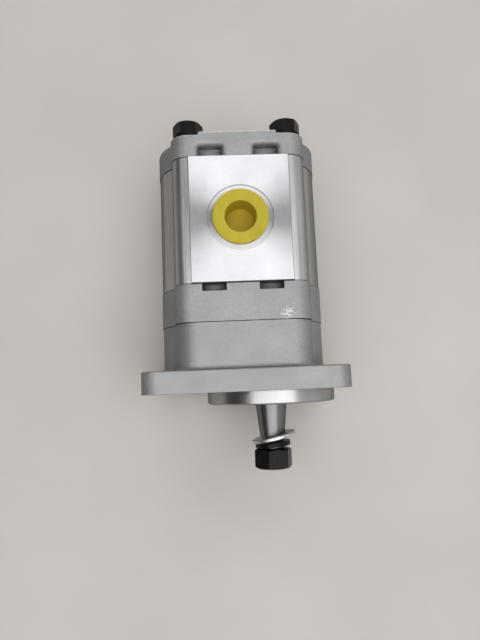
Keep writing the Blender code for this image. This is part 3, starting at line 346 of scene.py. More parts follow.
def turned(profile, steps=FINE, closed=False):
    """A solid turned about the y axis, from (y, radius) points. A closed profile makes a ring."""
    mesh = bmesh.new()
    rings = []
    for y, radius in profile:
        if radius == 0:
            rings.append([mesh.verts.new((0, y, 0))] * steps)
        else:
            rings.append([mesh.verts.new((x, y, z)) for x, z in circle(radius, steps)])
    pairs = list(zip(rings, rings[1:]))
    if closed:
        pairs.append((rings[-1], rings[0]))
    for first, second in pairs:
        for i in range(steps):
            j = (i + 1) % steps
            corners = list(dict.fromkeys((first[i], first[j], second[j], second[i])))
            if len(corners) > 2:
                mesh.faces.new(corners)
    bmesh.ops.recalc_face_normals(mesh, faces=mesh.faces)
    return mesh


def cylinder(radius, y0, y1, steps=FINE):
    return turned([(y0, 0), (y0, radius), (y1, radius), (y1, 0)], steps)


def chamfered_hole(radius, y0, y1, chamfer):
    """The cutter of a through hole with a countersunk mouth at both ends, about the y axis."""
    front, rear, mouth = y0 - OVERLAP, y1 + OVERLAP, radius + chamfer + OVERLAP
    profile = [(front, 0), (front, mouth), (y0 + chamfer, radius),
               (y1 - chamfer, radius), (rear, mouth), (rear, 0)]
    return turned(profile, ROUND)


def thread_ridge(foot, crest, pitch, crest_share, length):
    """A ridge wound about the y axis from y = 0, between a foot radius and a crest radius."""
    half, land = pitch / 2, pitch / 2 * crest_share
    section = [(-half, foot), (-land, crest), (land, crest), (half, foot)]
    rows = []
    for i in range(int(length / pitch * ROUND) + 1):
        angle = -2 * math.pi * i / ROUND
        rise = pitch * i / ROUND
        rows.append([(r * math.cos(angle), y + rise, r * math.sin(angle)) for y, r in section])
    return skin(rows)


def split_ring(inner, outer, thickness, rise=0.0, opening=WASHER_SPLIT):
    """A ring of rounded rectangular section, split at the bottom, that climbs along y by rise."""
    section = rounded_section(outer - inner, thickness, BROKEN_EDGE)
    rows = []
    for i in range(FINE + 1):
        share = i / FINE
        angle = -math.pi / 2 - opening / 2 - (2 * math.pi - opening) * share
        offset = (share - 0.5) * rise
        rows.append([((inner + r) * math.cos(angle), offset + y, (inner + r) * math.sin(angle))
                     for r, y in section])
    return skin(rows)


def moved(mesh, x=0.0, y=0.0, z=0.0):
    bmesh.ops.translate(mesh, verts=mesh.verts, vec=(x, y, z))
    return mesh


def rotated(mesh, angle, axis):
    bmesh.ops.rotate(mesh, verts=mesh.verts, matrix=Matrix.Rotation(angle, 3, axis))
    return mesh


def on_drive_axis(mesh, y=0.0):
    return moved(mesh, DRIVE_X, y, AXIS_Z)


def in_port(mesh, port, z=0.0):
    """Turn a mesh's y axis to point out of a port, with its origin z above the gear axes."""
    return moved(rotated(mesh, port["side"] * math.pi / 2, "X"), y=PORT_Y, z=AXIS_Z + z)


def four_corners(x, z):
    return [(side_x * x, side_z * z) for side_z in (1, -1) for side_x in (-1, 1)]


# Objects

def add_object(name, mesh):
    data = bpy.data.meshes.new(name)
    mesh.to_mesh(data)
    mesh.free()
    obj = bpy.data.objects.new(name, data)
    bpy.context.scene.collection.objects.link(obj)
    return obj


def combine(obj, operation, meshes):
    """Boolean with each mesh in turn, applied at once."""
    for mesh in meshes:
        tool = add_object("tool", mesh)
        modifier = obj.modifiers.new("combine", "BOOLEAN")
        modifier.operation = operation
        modifier.solver = "MANIFOLD" if obj.name in MANIFOLD_PIECES else "EXACT"
        modifier.object = tool
        graph = bpy.context.evaluated_depsgraph_get()
        result = bpy.data.meshes.new_from_object(obj.evaluated_get(graph))
        obj.modifiers.clear()
        previous, obj.data = obj.data, result
        bpy.data.meshes.remove(previous)
        bpy.data.objects.remove(tool, do_unlink=True)
    obj.data.name = obj.name


def cut(obj, *meshes):
    combine(obj, "DIFFERENCE", meshes)


def join(obj, *meshes):
    combine(obj, "UNION", meshes)


def finish_piece(obj, body, nodes, material):
    """Slivers removed, smooth shading, a material, and the piece's place in the frame."""
    mesh = bmesh.new()
    mesh.from_mesh(obj.data)
    bmesh.ops.dissolve_degenerate(mesh, dist=WELD, edges=mesh.edges)
    mesh.to_mesh(obj.data)
    mesh.free()
    obj.data.materials.clear()
    obj.data.materials.append(material)
    obj.data.shade_smooth()
    obj.data.set_sharp_from_angle(angle=SHARP_EDGE)
    normals = obj.modifiers.new("flat faces", "WEIGHTED_NORMAL")
    normals.keep_sharp = True
    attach(obj, body)
    if nodes:
        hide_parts(*nodes)


def paint(obj, material, test):
    """A second finish on the faces for which test(centre, normal) holds."""
    obj.data.materials.append(material)
    index = len(obj.data.materials) - 1
    for face in obj.data.polygons:
        if test(face.center, face.normal):
            face.material_index = index


# Finishes

class Finish:
    """A Principled material built up in layers, in the object's own coordinates."""

    def __init__(self, name, **constants):
        self.material = bpy.data.materials.new(name)
        self.material.use_nodes = True
        self.tree = self.material.node_tree
        self.shader = self.tree.nodes["Principled BSDF"]
        for socket, value in constants.items():
            self.shader.inputs[socket.replace("_", " ")].default_value = value
        self.place = self.add("ShaderNodeTexCoord").outputs["Object"]
        self.normal = None

    def feed(self, sockets, values):
        """Link each value to its socket if it is another node's output, or else set it there."""
        for socket, value in zip(sockets, values):
            if isinstance(value, bpy.types.NodeSocket):
                self.tree.links.new(value, socket)
            else:
                socket.default_value = value

    def add(self, kind, settings=None, **inputs):
        node = self.tree.nodes.new(kind)
        for name, value in (settings or {}).items():
            setattr(node, name, value)
        self.feed([node.inputs[name.replace("_", " ")] for name in inputs], inputs.values())
        return node

    def vector(self, operation, *operands, output="Vector"):
        node = self.add("ShaderNodeVectorMath", {"operation": operation})
        self.feed(node.inputs, operands)
        return node.outputs[output]

    def total(self, *operands):
        node = self.add("ShaderNodeMath", {"operation": "ADD"})
        self.feed(node.inputs, operands)
        return node.outputs["Value"]

    def link(self, socket, output):
        self.tree.links.new(output, self.shader.inputs[socket])

    def noise(self, scale, detail=4.0, stretch=(1.0, 1.0, 1.0), roughness=0.5):
        """Noise of about the given number of lumps a metre, drawn out along an axis by stretch."""
        mapping = self.add("ShaderNodeMapping", Vector=self.place, Scale=stretch)
        return self.add("ShaderNodeTexNoise", Vector=mapping.outputs["Vector"], Scale=scale,
                        Detail=detail, Roughness=roughness).outputs["Fac"]

    def open_air(self, distance):
        """How open a place is to its surroundings, from 0 in a hollow to 1."""
        node = self.add("ShaderNodeAmbientOcclusion", {"samples": AIR_SAMPLES}, Distance=distance)
        return node.outputs["AO"]

    def span(self, value, source, target=(0.0, 1.0)):
        """The value moved from one range to another, and held within it."""
        node = self.add("ShaderNodeMapRange", Value=value, From_Min=source[0], From_Max=source[1],
                        To_Min=target[0], To_Max=target[1])
        return node.outputs["Result"]

    def ramp(self, factor, positions, colours):
        """A ramp between two colours."""
        node = self.add("ShaderNodeValToRGB", Fac=factor)
        for element, position, colour in zip(node.color_ramp.elements, positions, colours):
            element.position = position
            element.color = (*colour, 1.0)
        return node.outputs["Color"]

    def mix(self, factor, first, second, blend="MIX"):
        node = self.add("ShaderNodeMix", {"data_type": "RGBA", "blend_type": blend})
        factor_socket, first_socket, second_socket = node.inputs[0], node.inputs[6], node.inputs[7]
        self.feed((factor_socket, first_socket, second_socket), (factor, first, second))
        return node.outputs[2]

    def bump(self, height, strength, distance):
        node = self.add("ShaderNodeBump", Height=height, Strength=strength, Distance=distance)
        if self.normal:
            self.tree.links.new(self.normal, node.inputs["Normal"])
        self.normal = node.outputs["Normal"]

    def done(self):
        if self.normal:
            self.link("Normal", self.normal)
        return self.material


def greys(dark, light):
    return (dark, dark, dark), (light, light, light)


def cast_aluminium(name, scuff=None):
    """Sand-cast skin: fine grain, cloudy patches, hollows darkened with painted shade, scuffs about a place."""
    finish = Finish(name, Metallic=0.9, Specular_Tint=(0.2, 0.2, 0.2, 1.0))
    clouds = finish.noise(scale=55, detail=5)
    grain = finish.noise(scale=1900, detail=3)
    base = finish.ramp(clouds, (0.30, 0.72), ((0.36, 0.363, 0.367), (0.42, 0.423, 0.426)))
    specks = finish.ramp(grain, (0.34, 0.64), greys(0.70, 1.08))
    base = finish.mix(0.8, base, specks, "MULTIPLY")
    # Painted shade: the colour darkens to near black in hollows, pockets and seams, by ambient occlusion.
    base = finish.mix(finish.span(finish.open_air(0.006), (0.25, 0.75)), HOLLOW_PAINTED_SHADE, base)
    if scuff:
        apart = finish.vector("DISTANCE", finish.place, scuff, output="Value")
        near = finish.span(apart, (0.0015, 0.0075), (0.15, 0.0))
        scratches = finish.noise(scale=700, detail=6, stretch=(0.6, 1.0, 1.0), roughness=0.7)
        struck = finish.span(finish.total(near, scratches), (0.64, 0.72))
        base = finish.mix(struck, base, BRIGHT_SCRATCH)
    finish.link("Base Color", base)
    finish.link("Roughness", finish.span(grain, NOISE_RANGE, (0.52, 0.70)))
    finish.bump(finish.noise(scale=1300, detail=4), strength=0.45, distance=0.0005)
    finish.bump(finish.noise(scale=260, detail=3), strength=0.14, distance=0.0008)
    return finish.done()


def bare_edge_and_painted_glint():
    """Cast skin dressed off to bright metal along an edge, with a pale colour painted on as a highlight."""
    finish = Finish("bare edge with painted glint", Metallic=0.3)
    strokes = finish.noise(scale=900, detail=5, stretch=(1.0, 0.4, 1.0))
    # Painted highlight: a pale, mostly diffuse colour stands in for glints along the edge, on top of the dressed
    # metal.
    finish.link("Base Color", finish.ramp(strokes, (0.35, 0.65), greys(0.66, 0.90)))
    finish.link("Roughness", finish.span(strokes, NOISE_RANGE, (0.36, 0.50)))
    finish.bump(strokes, strength=0.10, distance=0.0003)
    return finish.done()


def extruded_aluminium():
    """Die lines along the body, on a satin metal."""
    finish = Finish("extruded aluminium", Metallic=0.95, Specular_Tint=(0.2, 0.2, 0.2, 1.0))
    lines = finish.noise(scale=2600, detail=4, stretch=(1.0, 0.012, 1.0))
    streaks = finish.noise(scale=420, detail=3, stretch=(1.0, 0.02, 1.0))
    base = finish.ramp(lines, (0.30, 0.72), ((0.44, 0.435, 0.43), (0.58, 0.575, 0.57)))
    bands = finish.ramp(streaks, (0.35, 0.65), greys(0.36, 0.60))
    finish.link("Base Color", finish.mix(0.4, base, bands))
    finish.link("Roughness", finish.span(lines, NOISE_RANGE, (0.28, 0.40)))
    finish.bump(lines, strength=0.10, distance=0.0003)
    return finish.done()


def turned_metal(name, colour, roughness, axis, centre, pitch, spread):
    """Metal with tool marks in rings about an axis, which stretch its highlights across them."""
    finish = Finish(name, Metallic=1.0, Anisotropic=spread, Specular_Tint=(0.4, 0.4, 0.4, 1.0))
    offset = finish.vector("SUBTRACT", finish.place, centre)
    around = finish.vector("CROSS_PRODUCT", axis, offset)
    normal = finish.add("ShaderNodeNewGeometry").outputs["Normal"]
    finish.link("Tangent", finish.vector("CROSS_PRODUCT", normal, around))
    radius = finish.vector("LENGTH", around, output="Value")
    along = finish.vector("DOT_PRODUCT", offset, axis, output="Value")
    marks = finish.add("ShaderNodeTexNoise", {"noise_dimensions": "1D"},
                       W=finish.total(radius, along), Scale=1 / pitch, Detail=3.0).outputs["Fac"]
    colours = (tuple(MARK_SHADE * value for value in colour), colour)
    clouds = finish.ramp(finish.noise(scale=120, detail=4), (0.32, 0.68), colours)
    rings = finish.ramp(marks, NOISE_RANGE, colours)
    finish.link("Base Color", finish.mix(0.5, clouds, rings))
    smooth, rough = roughness * (1 - MARK_ROUGHNESS), roughness * (1 + MARK_ROUGHNESS)
    finish.link("Roughness", finish.span(marks, (0.25, 0.75), (smooth, rough)))
    return finish.done()


def black_oxide():
    """Oiled black steel."""
    finish = Finish("black oxide", Metallic=0.0, Specular_IOR_Level=0.15)
    clouds = finish.noise(scale=350, detail=5)
    base = finish.ramp(clouds, (0.30, 0.75), ((0.002, 0.002, 0.0024), (0.005, 0.005, 0.0058)))
    finish.link("Base Color", base)
    sheen = finish.noise(scale=900, detail=4)
    finish.link("Roughness", finish.span(sheen, NOISE_RANGE, (0.24, 0.38)))
    finish.bump(finish.noise(scale=1600, detail=3), strength=0.10, distance=0.0003)
    return finish.done()


def zinc_plate():
    finish = Finish("zinc plate", Metallic=1.0)
    spangle = finish.noise(scale=420, detail=4)
    base = finish.ramp(spangle, NOISE_RANGE, ((0.50, 0.51, 0.50), (0.68, 0.68, 0.66)))
    finish.link("Base Color", base)
    sheen = finish.noise(scale=800, detail=3)
    finish.link("Roughness", finish.span(sheen, NOISE_RANGE, (0.30, 0.48)))
    finish.bump(finish.noise(scale=1400, detail=3), strength=0.08, distance=0.0002)
    return finish.done()


def yellow_plastic():
    """Moulded polyethylene: a soft sheen, faint flow marks, and painted shade that deepens the colour in the
    hollow.
    """
    finish = Finish("yellow plastic", Metallic=0.0, Specular_IOR_Level=0.25)
    flow = finish.noise(scale=160, detail=4, stretch=(1.0, 0.45, 1.0))
    base = finish.ramp(flow, (0.28, 0.74), ((0.40, 0.330, 0.020), (0.48, 0.400, 0.030)))
    # Painted shade: the colour turns darker and deeper yellow inside the recess, by ambient occlusion.
    base = finish.mix(finish.span(finish.open_air(0.016), (0.35, 0.90)), HOLLOW_SHADE_YELLOW, base)
    finish.link("Base Color", base)
    sheen = finish.noise(scale=700, detail=4)
    finish.link("Roughness", finish.span(sheen, NOISE_RANGE, (0.36, 0.54)))
    finish.bump(finish.noise(scale=1200, detail=3), strength=0.06, distance=0.0003)
    return finish.done()


def rubber():
    finish = Finish("nitrile rubber", Metallic=0.0)
    bloom = finish.noise(scale=300, detail=4)
    finish.link("Base Color", finish.ramp(bloom, (0.3, 0.75), greys(0.012, 0.028)))
    finish.link("Roughness", finish.span(bloom, NOISE_RANGE, (0.55, 0.75)))
    finish.bump(finish.noise(scale=2200, detail=2), strength=0.08, distance=0.0002)
    return finish.done()


def bronze():
    finish = Finish("bronze", Metallic=1.0)
    stain = finish.noise(scale=260, detail=4)
    base = finish.ramp(stain, (0.3, 0.75), ((0.42, 0.27, 0.13), (0.62, 0.43, 0.22)))
    finish.link("Base Color", base)
    finish.link("Roughness", finish.span(stain, NOISE_RANGE, (0.30, 0.45)))
    finish.bump(finish.noise(scale=1800, detail=3), strength=0.06, distance=0.0002)
    return finish.done()


def pale_floor():
    finish = Finish("pale floor", Roughness=0.55)
    clouds = finish.noise(scale=9, detail=4)
    base = finish.ramp(clouds, NOISE_RANGE, ((0.475, 0.450, 0.420), (0.525, 0.495, 0.465)))
    finish.link("Base Color", base)
    return finish.done()


# Castings

def pocket_mesh(pocket, y0, y1, side_x, side_z):
    """The cutter of a pocket in a cover's port side, with drafted walls and a rounded mouth."""
    width, length, mouth, corner = pocket["width"], y1 - y0, pocket["mouth"], pocket["corner"]
    middle_x, middle_y = side_x * (POCKET_OUTER_EDGE - width / 2), (y0 + y1) / 2
    surface = BLOCK_HEIGHT / 2 + COVER_OVERHANG
    steps = [(-OVERLAP, -mouth)]
    steps += [(across, -along) for along, across in reversed(quarter_round(mouth))]
    steps += [(POCKET_DEPTH - corner / 2, POCKET_DRAFT), (POCKET_DEPTH, POCKET_DRAFT + corner / 2)]
    rows = []
    for depth, inset in steps:
        outline = rounded_rectangle(width - 2 * inset, length - 2 * inset,
                                    corner + max(0.0, -inset))
        height = AXIS_Z + side_z * (surface - depth)
        rows.append([(middle_x + x, middle_y + y, height) for x, y in outline])
    return skin(rows)


def pockets(pocket, y0, y1):
    return [pocket_mesh(pocket, y0, y1, side_x, side_z) for side_x in (1, -1) for side_z in (1, -1)]


def flange_block(start, plate_end):
    """The block behind the flange, with a fillet where it leaves the plate."""
    sections = [(housing_outline(FLANGE_FILLET, FLANGE_BLOCK_CORNER), start)]
    sections += [(housing_outline(across, FLANGE_BLOCK_CORNER), plate_end + along)
                 for along, across in quarter_round(FLANGE_FILLET)]
    sections += [(housing_outline(-along, FLANGE_BLOCK_CORNER), FLANGE_HIGH.y - across)
                 for along, across in quarter_round(SEAM_EDGE)]
    return loft(sections)


def pilot(start):
    profile = [(start, 0), (start, PILOT_RADIUS), (FLANGE_LOW.y + PILOT_CHAMFER, PILOT_RADIUS),
               (FLANGE_LOW.y, PILOT_RADIUS - PILOT_CHAMFER), (FLANGE_LOW.y, 0)]
    return on_drive_axis(turned(profile, 2 * FINE))


def flange_bore():
    """The cutter of the stepped bore: seal seat with a circlip groove, web and bearing seat."""
    front, rear = FLANGE_LOW.y - OVERLAP, FLANGE_HIGH.y + OVERLAP
    circlip_low, circlip_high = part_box("seal_circlip")
    race_low, race_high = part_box("bearing_outer_race")
    groove_y, groove_end = circlip_low.y - FIT_GAP / 2, circlip_high.y + FIT_GAP / 2
    groove, web = BORE_RADIUS + CIRCLIP_GROOVE, BORE_RADIUS - BORE_WEB
    seat_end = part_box("shaft_seal")[1].y + FIT_GAP
    bearing_y, bearing_seat = race_low.y - FIT_GAP, (race_high.x - race_low.x) / 2 + FIT_GAP
    profile = [(front, 0), (front, BORE_RADIUS + OVERLAP + BROKEN_EDGE),
               (FLANGE_LOW.y + BROKEN_EDGE, BORE_RADIUS), (groove_y, BORE_RADIUS),
               (groove_y, groove), (groove_end, groove), (groove_end, BORE_RADIUS),
               (seat_end, BORE_RADIUS), (seat_end, web), (bearing_y, web),
               (bearing_y, bearing_seat), (rear, bearing_seat), (rear, 0)]
    return on_drive_axis(turned(profile))


def make_mounting_flange(cast, turned_face):
    plate_end, plate_middle = MOUNT_Y + FLANGE_THICKNESS, MOUNT_Y + FLANGE_THICKNESS / 2
    casting = add_object("flange_casting", edged_prism(flange_outline, MOUNT_Y, plate_end,
                                                       BROKEN_EDGE, CAST_EDGE))
    join(casting, flange_block(plate_middle, plate_end), pilot(plate_middle))
    cut(casting, flange_bore())
    for x, z in four_corners(FLANGE_HOLE_X, FLANGE_HOLE_Z):
        hole = chamfered_hole(FLANGE_HOLE_RADIUS, MOUNT_Y, plate_end, BROKEN_EDGE)
        cut(casting, moved(hole, x=x, z=z + AXIS_Z))
    finish_piece(casting, "housing", ["mounting_flange"], cast)
    paint(casting, turned_face, lambda centre, normal: centre.y < MOUNT_Y + ON_FACE)


def make_front_cover(cast):
    cover = add_object("front_cover_casting", edged_prism(cover_outline, FRONT_LOW.y, FRONT_HIGH.y,
                                                          SEAM_EDGE, BROKEN_EDGE))
    pocket_y = FRONT_HIGH.y - FRONT_POCKET["length"]
    cut(cover, *pockets(FRONT_POCKET, pocket_y, FRONT_HIGH.y + OVERLAP))
    cut(cover, on_drive_axis(cylinder(SEAL_LAND, FRONT_LOW.y - OVERLAP, FRONT_HIGH.y + OVERLAP)))
    finish_piece(cover, "housing", ["front_cover"], cast)


def seat_chamfer(x, z):
    """What is cut away where a bolt's seat meets the sides of the cover."""
    rim = cylinder(SEAT_RADIUS - SEAT_EDGE, SEAT_Y - SEAT_EDGE, SEAT_Y + SEAT_EDGE, ROUND)
    ring = add_object("seat_edge", moved(rim, x=x, z=z + AXIS_Z))
    cut(ring, loft([(cover_outline(SEAT_EDGE), SEAT_Y - 2 * SEAT_EDGE),
                    (cover_outline(-2 * SEAT_EDGE), SEAT_Y + SEAT_EDGE),
                    (cover_outline(-2 * SEAT_EDGE), SEAT_Y + 2 * SEAT_EDGE)]))
    chamfer = bmesh.new()
    chamfer.from_mesh(ring.data)
    bpy.data.objects.remove(ring, do_unlink=True)
    return chamfer


def make_rear_cover(cast, machined, dressed_and_glint):
    cover = add_object("rear_cover_casting", edged_prism(cover_outline, REAR_LOW.y, REAR_HIGH.y,
                                                         BROKEN_EDGE, CAST_EDGE))
    cut(cover, *pockets(REAR_POCKET, REAR_LOW.y - OVERLAP, REAR_LOW.y + REAR_POCKET["length"]))
    for x, z in four_corners(BOLT_X, BOLT_Z):
        seat = cylinder(SEAT_RADIUS, SEAT_Y, REAR_HIGH.y + OVERLAP, ROUND)
        cut(cover, moved(seat, x=x, z=z + AXIS_Z), seat_chamfer(x, z))
    finish_piece(cover, "housing", ["rear_cover"], cast)
    paint(cover, machined, lambda centre, normal: abs(centre.y - SEAT_Y) < ON_FACE)
    least, most = DRESSED_AND_GLINT_SLOPE
    # Dressed metal with a painted highlight on the rounded rear edge and the seat chamfers.
    paint(cover, dressed_and_glint, lambda centre, normal:
          least < normal.y < most and centre.y > SEAT_Y - 2 * SEAT_EDGE)


# Body

def port_cutter(port):
    """Spotface, threaded bore and passage of one port, down to the gear chamber."""
    top, face = PORT_FACE + OVERLAP, PORT_FACE - SPOTFACE_DEPTH
    bore = port["thread"] / 2 + PORT_THREAD_HEIGHT
    passage, spotface = port["passage"] / 2, port["spotface"] / 2
    floor = PORT_FACE - THREAD_DEPTH
    profile = [(0, 0), (0, passage), (floor, passage), (floor + BROKEN_EDGE, bore),
               (face - BROKEN_EDGE, bore), (face, bore + BROKEN_EDGE), (face, spotface),
               (PORT_FACE - BROKEN_EDGE / 2, spotface), (top, spotface + OVERLAP), (top, 0)]
    return in_port(turned(profile), port)


def port_pads():
    """The raised pads of both ports, as one block through the body."""
    rows = []
    for height, inset in ((-PORT_FACE, BROKEN_EDGE), (BROKEN_EDGE - PORT_FACE, 0.0),
                          (PORT_FACE - BROKEN_EDGE, 0.0), (PORT_FACE, BROKEN_EDGE)):
        x, y0, y1 = PAD_WIDTH / 2 - inset, BODY_LOW.y + inset, BODY_HIGH.y - inset
        corners = ((-x, y0), (x, y0), (x, y1), (-x, y1))
        rows.append([(*corner, AXIS_Z + height) for corner in corners])
    return skin(rows)


def make_pump_body(extruded, milled):
    body = add_object("body_extrusion", edged_prism(housing_outline, BODY_LOW.y, BODY_HIGH.y,
                                                    BROKEN_EDGE, BROKEN_EDGE))
    join(body, port_pads())
    for x in (DRIVE_X, -DRIVE_X):
        chamber = cylinder(CHAMBER_RADIUS, BODY_LOW.y - OVERLAP, BODY_HIGH.y + OVERLAP)
        cut(body, moved(chamber, x=x, z=AXIS_Z))
    cut(body, *[port_cutter(port) for port in PORTS.values()])
    finish_piece(body, "housing", ["pump_body"], extruded)
    least = PORT_FACE - MILLED_DEPTH
    paint(body, milled, lambda centre, normal:
          abs(normal.z) > MILLED_SLOPE and abs(centre.z - AXIS_Z) > least)
    for name, port in PORTS.items():
        make_port_thread(name, port, milled)


def make_port_thread(name, port, machined):
    crest = port["thread"] / 2
    foot = crest + PORT_THREAD_HEIGHT + BROKEN_EDGE
    length = THREAD_DEPTH - SPOTFACE_DEPTH - 2 * PORT_THREAD_PITCH
    ridge = thread_ridge(foot, crest, PORT_THREAD_PITCH, PORT_THREAD_CREST, length)
    start = PORT_FACE - THREAD_DEPTH + PORT_THREAD_PITCH
    thread = add_object(f"{name}_port_thread", in_port(moved(ridge, y=start), port))
    finish_piece(thread, "housing", [], machined)


def make_plug(name, port, plastic):
    """A push-in cup whose rim lies on the spotface."""
    rim_y, edge = FIT_GAP - SPOTFACE_DEPTH, PLUG_EDGE
    top, bottom = rim_y + PLUG_RIM_THICKNESS, rim_y - PLUG_DEPTH
    floor = bottom + PLUG_FLOOR
    radius, rim = port["thread"] / 2 - FIT_GAP, port["thread"] / 2 + PLUG_RIM_OVERHANG
    end, recess = radius - PLUG_DRAFT, radius - PLUG_WALL
    well = recess - PLUG_DRAFT
    profile = [(bottom, 0), (bottom, end - edge), (bottom + edge, end),
               (rim_y, radius), (rim_y, rim - edge / 2), (rim_y + edge / 2, rim)]
    profile += [(top - across, rim - along) for along, across in quarter_round(edge)]
    profile += [(top - along, recess + across) for along, across in quarter_round(edge)]
    profile += [(floor + edge, well), (floor, well - edge), (floor, 0)]
    plug = add_object(f"{name}_cap", in_port(turned(profile), port, port["side"] * PORT_FACE))
    finish_piece(plug, f"{name}_plug", [f"{name}_plug"], plastic)


# Bolts, nut and washers

def hex_blank(flats, y0, y1, both_ends):
    """The turned blank that chamfers a hexagon's corners, at its far end or at both."""
    corner = flats / 2 / math.cos(math.pi / 6) + BROKEN_EDGE
    face = flats / 2 - BROKEN_EDGE
    drop = (corner - face) * math.tan(HEX_CHAMFER)
    if both_ends:
        front = [(y0, 0), (y0, face), (y0 + drop, corner)]
    else:
        front = [(y0 - OVERLAP, 0), (y0 - OVERLAP, corner)]
    return turned(front + [(y1 - drop, corner), (y1, face), (y1, 0)])


def add_hexagon(name, flats, turn, y0, y1, both_ends):
    """A chamfered hexagon about the y axis."""
    bar = [[(x, y, z) for x, z in hexagon(flats, turn)] for y in (y0, y1)]
    obj = add_object(name, skin(bar))
    combine(obj, "INTERSECT", [hex_blank(flats, y0, y1, both_ends)])
    return obj


def make_tie_bolts(black):
    for i, (x, z) in enumerate(four_corners(BOLT_X, BOLT_Z), 1):
        low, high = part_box(f"tie_bolt_{i}")
        head_y = high.y - BOLT_HEAD
        bolt = add_hexagon(f"hex_bolt_{i}", BOLT_FLATS, -BOLT_TURN, head_y, high.y, False)
        shank_end = head_y + BOLT_HEAD / 2
        shank = [(low.y, 0), (low.y, BOLT_RADIUS - BROKEN_EDGE), (low.y + BROKEN_EDGE, BOLT_RADIUS),
                 (shank_end, BOLT_RADIUS), (shank_end, 0)]
        join(bolt, turned(shank, ROUND))
        bolt.data.transform(Matrix.Translation((x, 0, z + AXIS_Z)))
        finish_piece(bolt, "housing", [f"tie_bolt_{i}"], black)
        low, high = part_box(f"tie_bolt_washer_{i}")
        ring = split_ring(WASHER_HOLE, WASHER_RADIUS, high.y - low.y)
        washer = add_object(f"spring_washer_{i}", moved(ring, x, (low.y + high.y) / 2, z + AXIS_Z))
        finish_piece(washer, "housing", [f"tie_bolt_washer_{i}"], black)


def make_shaft_nut(black):
    nut = add_hexagon("hex_nut", NUT_FLATS, NUT_TURN, NUT_LOW.y, NUT_HIGH.y, True)
    cut(nut, chamfered_hole(NUT_BORE, NUT_LOW.y, NUT_HIGH.y, THREAD_HEIGHT))
    nut.data.transform(Matrix.Translation((DRIVE_X, 0, AXIS_Z)))
    finish_piece(nut, "drive_shaft", ["shaft_nut"], black)


def make_shaft_washers(black, zinc):
    low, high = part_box("lock_washer")
    ring = split_ring(NUT_BORE, LOCK_WASHER_RADIUS, LOCK_WASHER_THICKNESS, LOCK_WASHER_RISE)
    ring = rotated(ring, LOCK_WASHER_TILT, "Z")
    washer = add_object("split_washer", on_drive_axis(ring, (low.y + high.y) / 2))
    finish_piece(washer, "drive_shaft", ["lock_washer"], black)
    low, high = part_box("flat_washer")
    section = rounded_section(FLAT_WASHER_RADIUS - FLAT_WASHER_HOLE, FLAT_WASHER_THICKNESS,
                              2 * BROKEN_EDGE)
    ring = turned([(y, FLAT_WASHER_HOLE + r) for r, y in section], closed=True)
    ring = rotated(ring, FLAT_WASHER_TILT, "Z")
    washer = add_object("plain_washer", moved(ring, *(low + high) / 2))
    finish_piece(washer, "drive_shaft", ["flat_washer"], zinc)


# Shaft

def shaft_profile(root, start, end):
    """(y, radius) points of the shaft, from its centre drilling to its collar."""
    small = TAPER_LARGE - TAPER_RATIO * TAPER_LENGTH / 2
    bearing_y = MOUNT_Y + BEARING_SEAT_START
    collar_end = SHAFT_HIGH.y - TANG_LENGTH
    collar_y = collar_end - COLLAR_LENGTH
    return [(SHAFT_LOW.y + CENTRE_DRILL, 0), (SHAFT_LOW.y, CENTRE_DRILL),
            (SHAFT_LOW.y, root - BROKEN_EDGE), (SHAFT_LOW.y + BROKEN_EDGE, root),
            (end - BROKEN_EDGE, root), (end, root + BROKEN_EDGE),
            (end, small - BROKEN_EDGE), (end + BROKEN_EDGE, small),
            (start - BROKEN_EDGE, TAPER_LARGE), (start, TAPER_LARGE + BROKEN_EDGE),
            (start, SEAL_LAND - BROKEN_EDGE), (start + BROKEN_EDGE, SEAL_LAND),
            (bearing_y, SEAL_LAND), (bearing_y, BEARING_SEAT_RADIUS),
            (collar_y, BEARING_SEAT_RADIUS), (collar_y, COLLAR_RADIUS),
            (collar_end, COLLAR_RADIUS), (collar_end, 0)]


def make_input_shaft(steel, dark_steel):
    start = MOUNT_Y + TAPER_START
    end = start - TAPER_LENGTH
    root = THREAD_RADIUS - THREAD_HEIGHT
    shaft = add_object("taper_shaft", on_drive_axis(turned(shaft_profile(root, start, end))))
    tang_length = TANG_LENGTH + TANG_ROOT
    tang = bmesh.new()
    bmesh.ops.create_cube(tang, size=1.0)
    bmesh.ops.scale(tang, verts=tang.verts, vec=(TANG_SPAN, tang_length, TANG_THICKNESS))
    join(shaft, on_drive_axis(tang, SHAFT_HIGH.y - tang_length / 2))
    cut(shaft, key_slot())
    finish_piece(shaft, "drive_shaft", ["input_shaft"], steel)
    length = end - UNDERCUT_LENGTH - SHAFT_LOW.y - 2 * THREAD_PITCH
    ridge = thread_ridge(root - BROKEN_EDGE, THREAD_RADIUS, THREAD_PITCH, THREAD_CREST, length)
    thread = add_object("shaft_thread", on_drive_axis(ridge, SHAFT_LOW.y + THREAD_PITCH))
    finish_piece(thread, "drive_shaft", [], dark_steel)


def half_round(radius, flat, sides):
    """A half-round plate on the key's centre. sides holds (x, inset) for each outline across it."""
    low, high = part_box("woodruff_key")
    middle_y, centre_z = (low.y + high.y) / 2, low.z - KEY_CHORD_OFFSET
    reach = math.asin((flat - centre_z) / radius)
    outline = arc((middle_y, centre_z), radius, reach, math.pi - reach, ROUND)
    rows = []
    for x, inset in sides:
        share = inset / radius
        rows.append([(DRIVE_X + x, middle_y + (y - middle_y) * (1 - share),
                      flat + inset + (z - flat) * (1 - 2 * share)) for y, z in outline])
    return skin(rows)


def key_slot():
    low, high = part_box("woodruff_key")
    half = (high.x - low.x) / 2 + FIT_GAP
    return half_round(KEY_RADIUS + FIT_GAP, low.z - KEY_SLOT_MOUTH, ((-half, 0.0), (half, 0.0)))


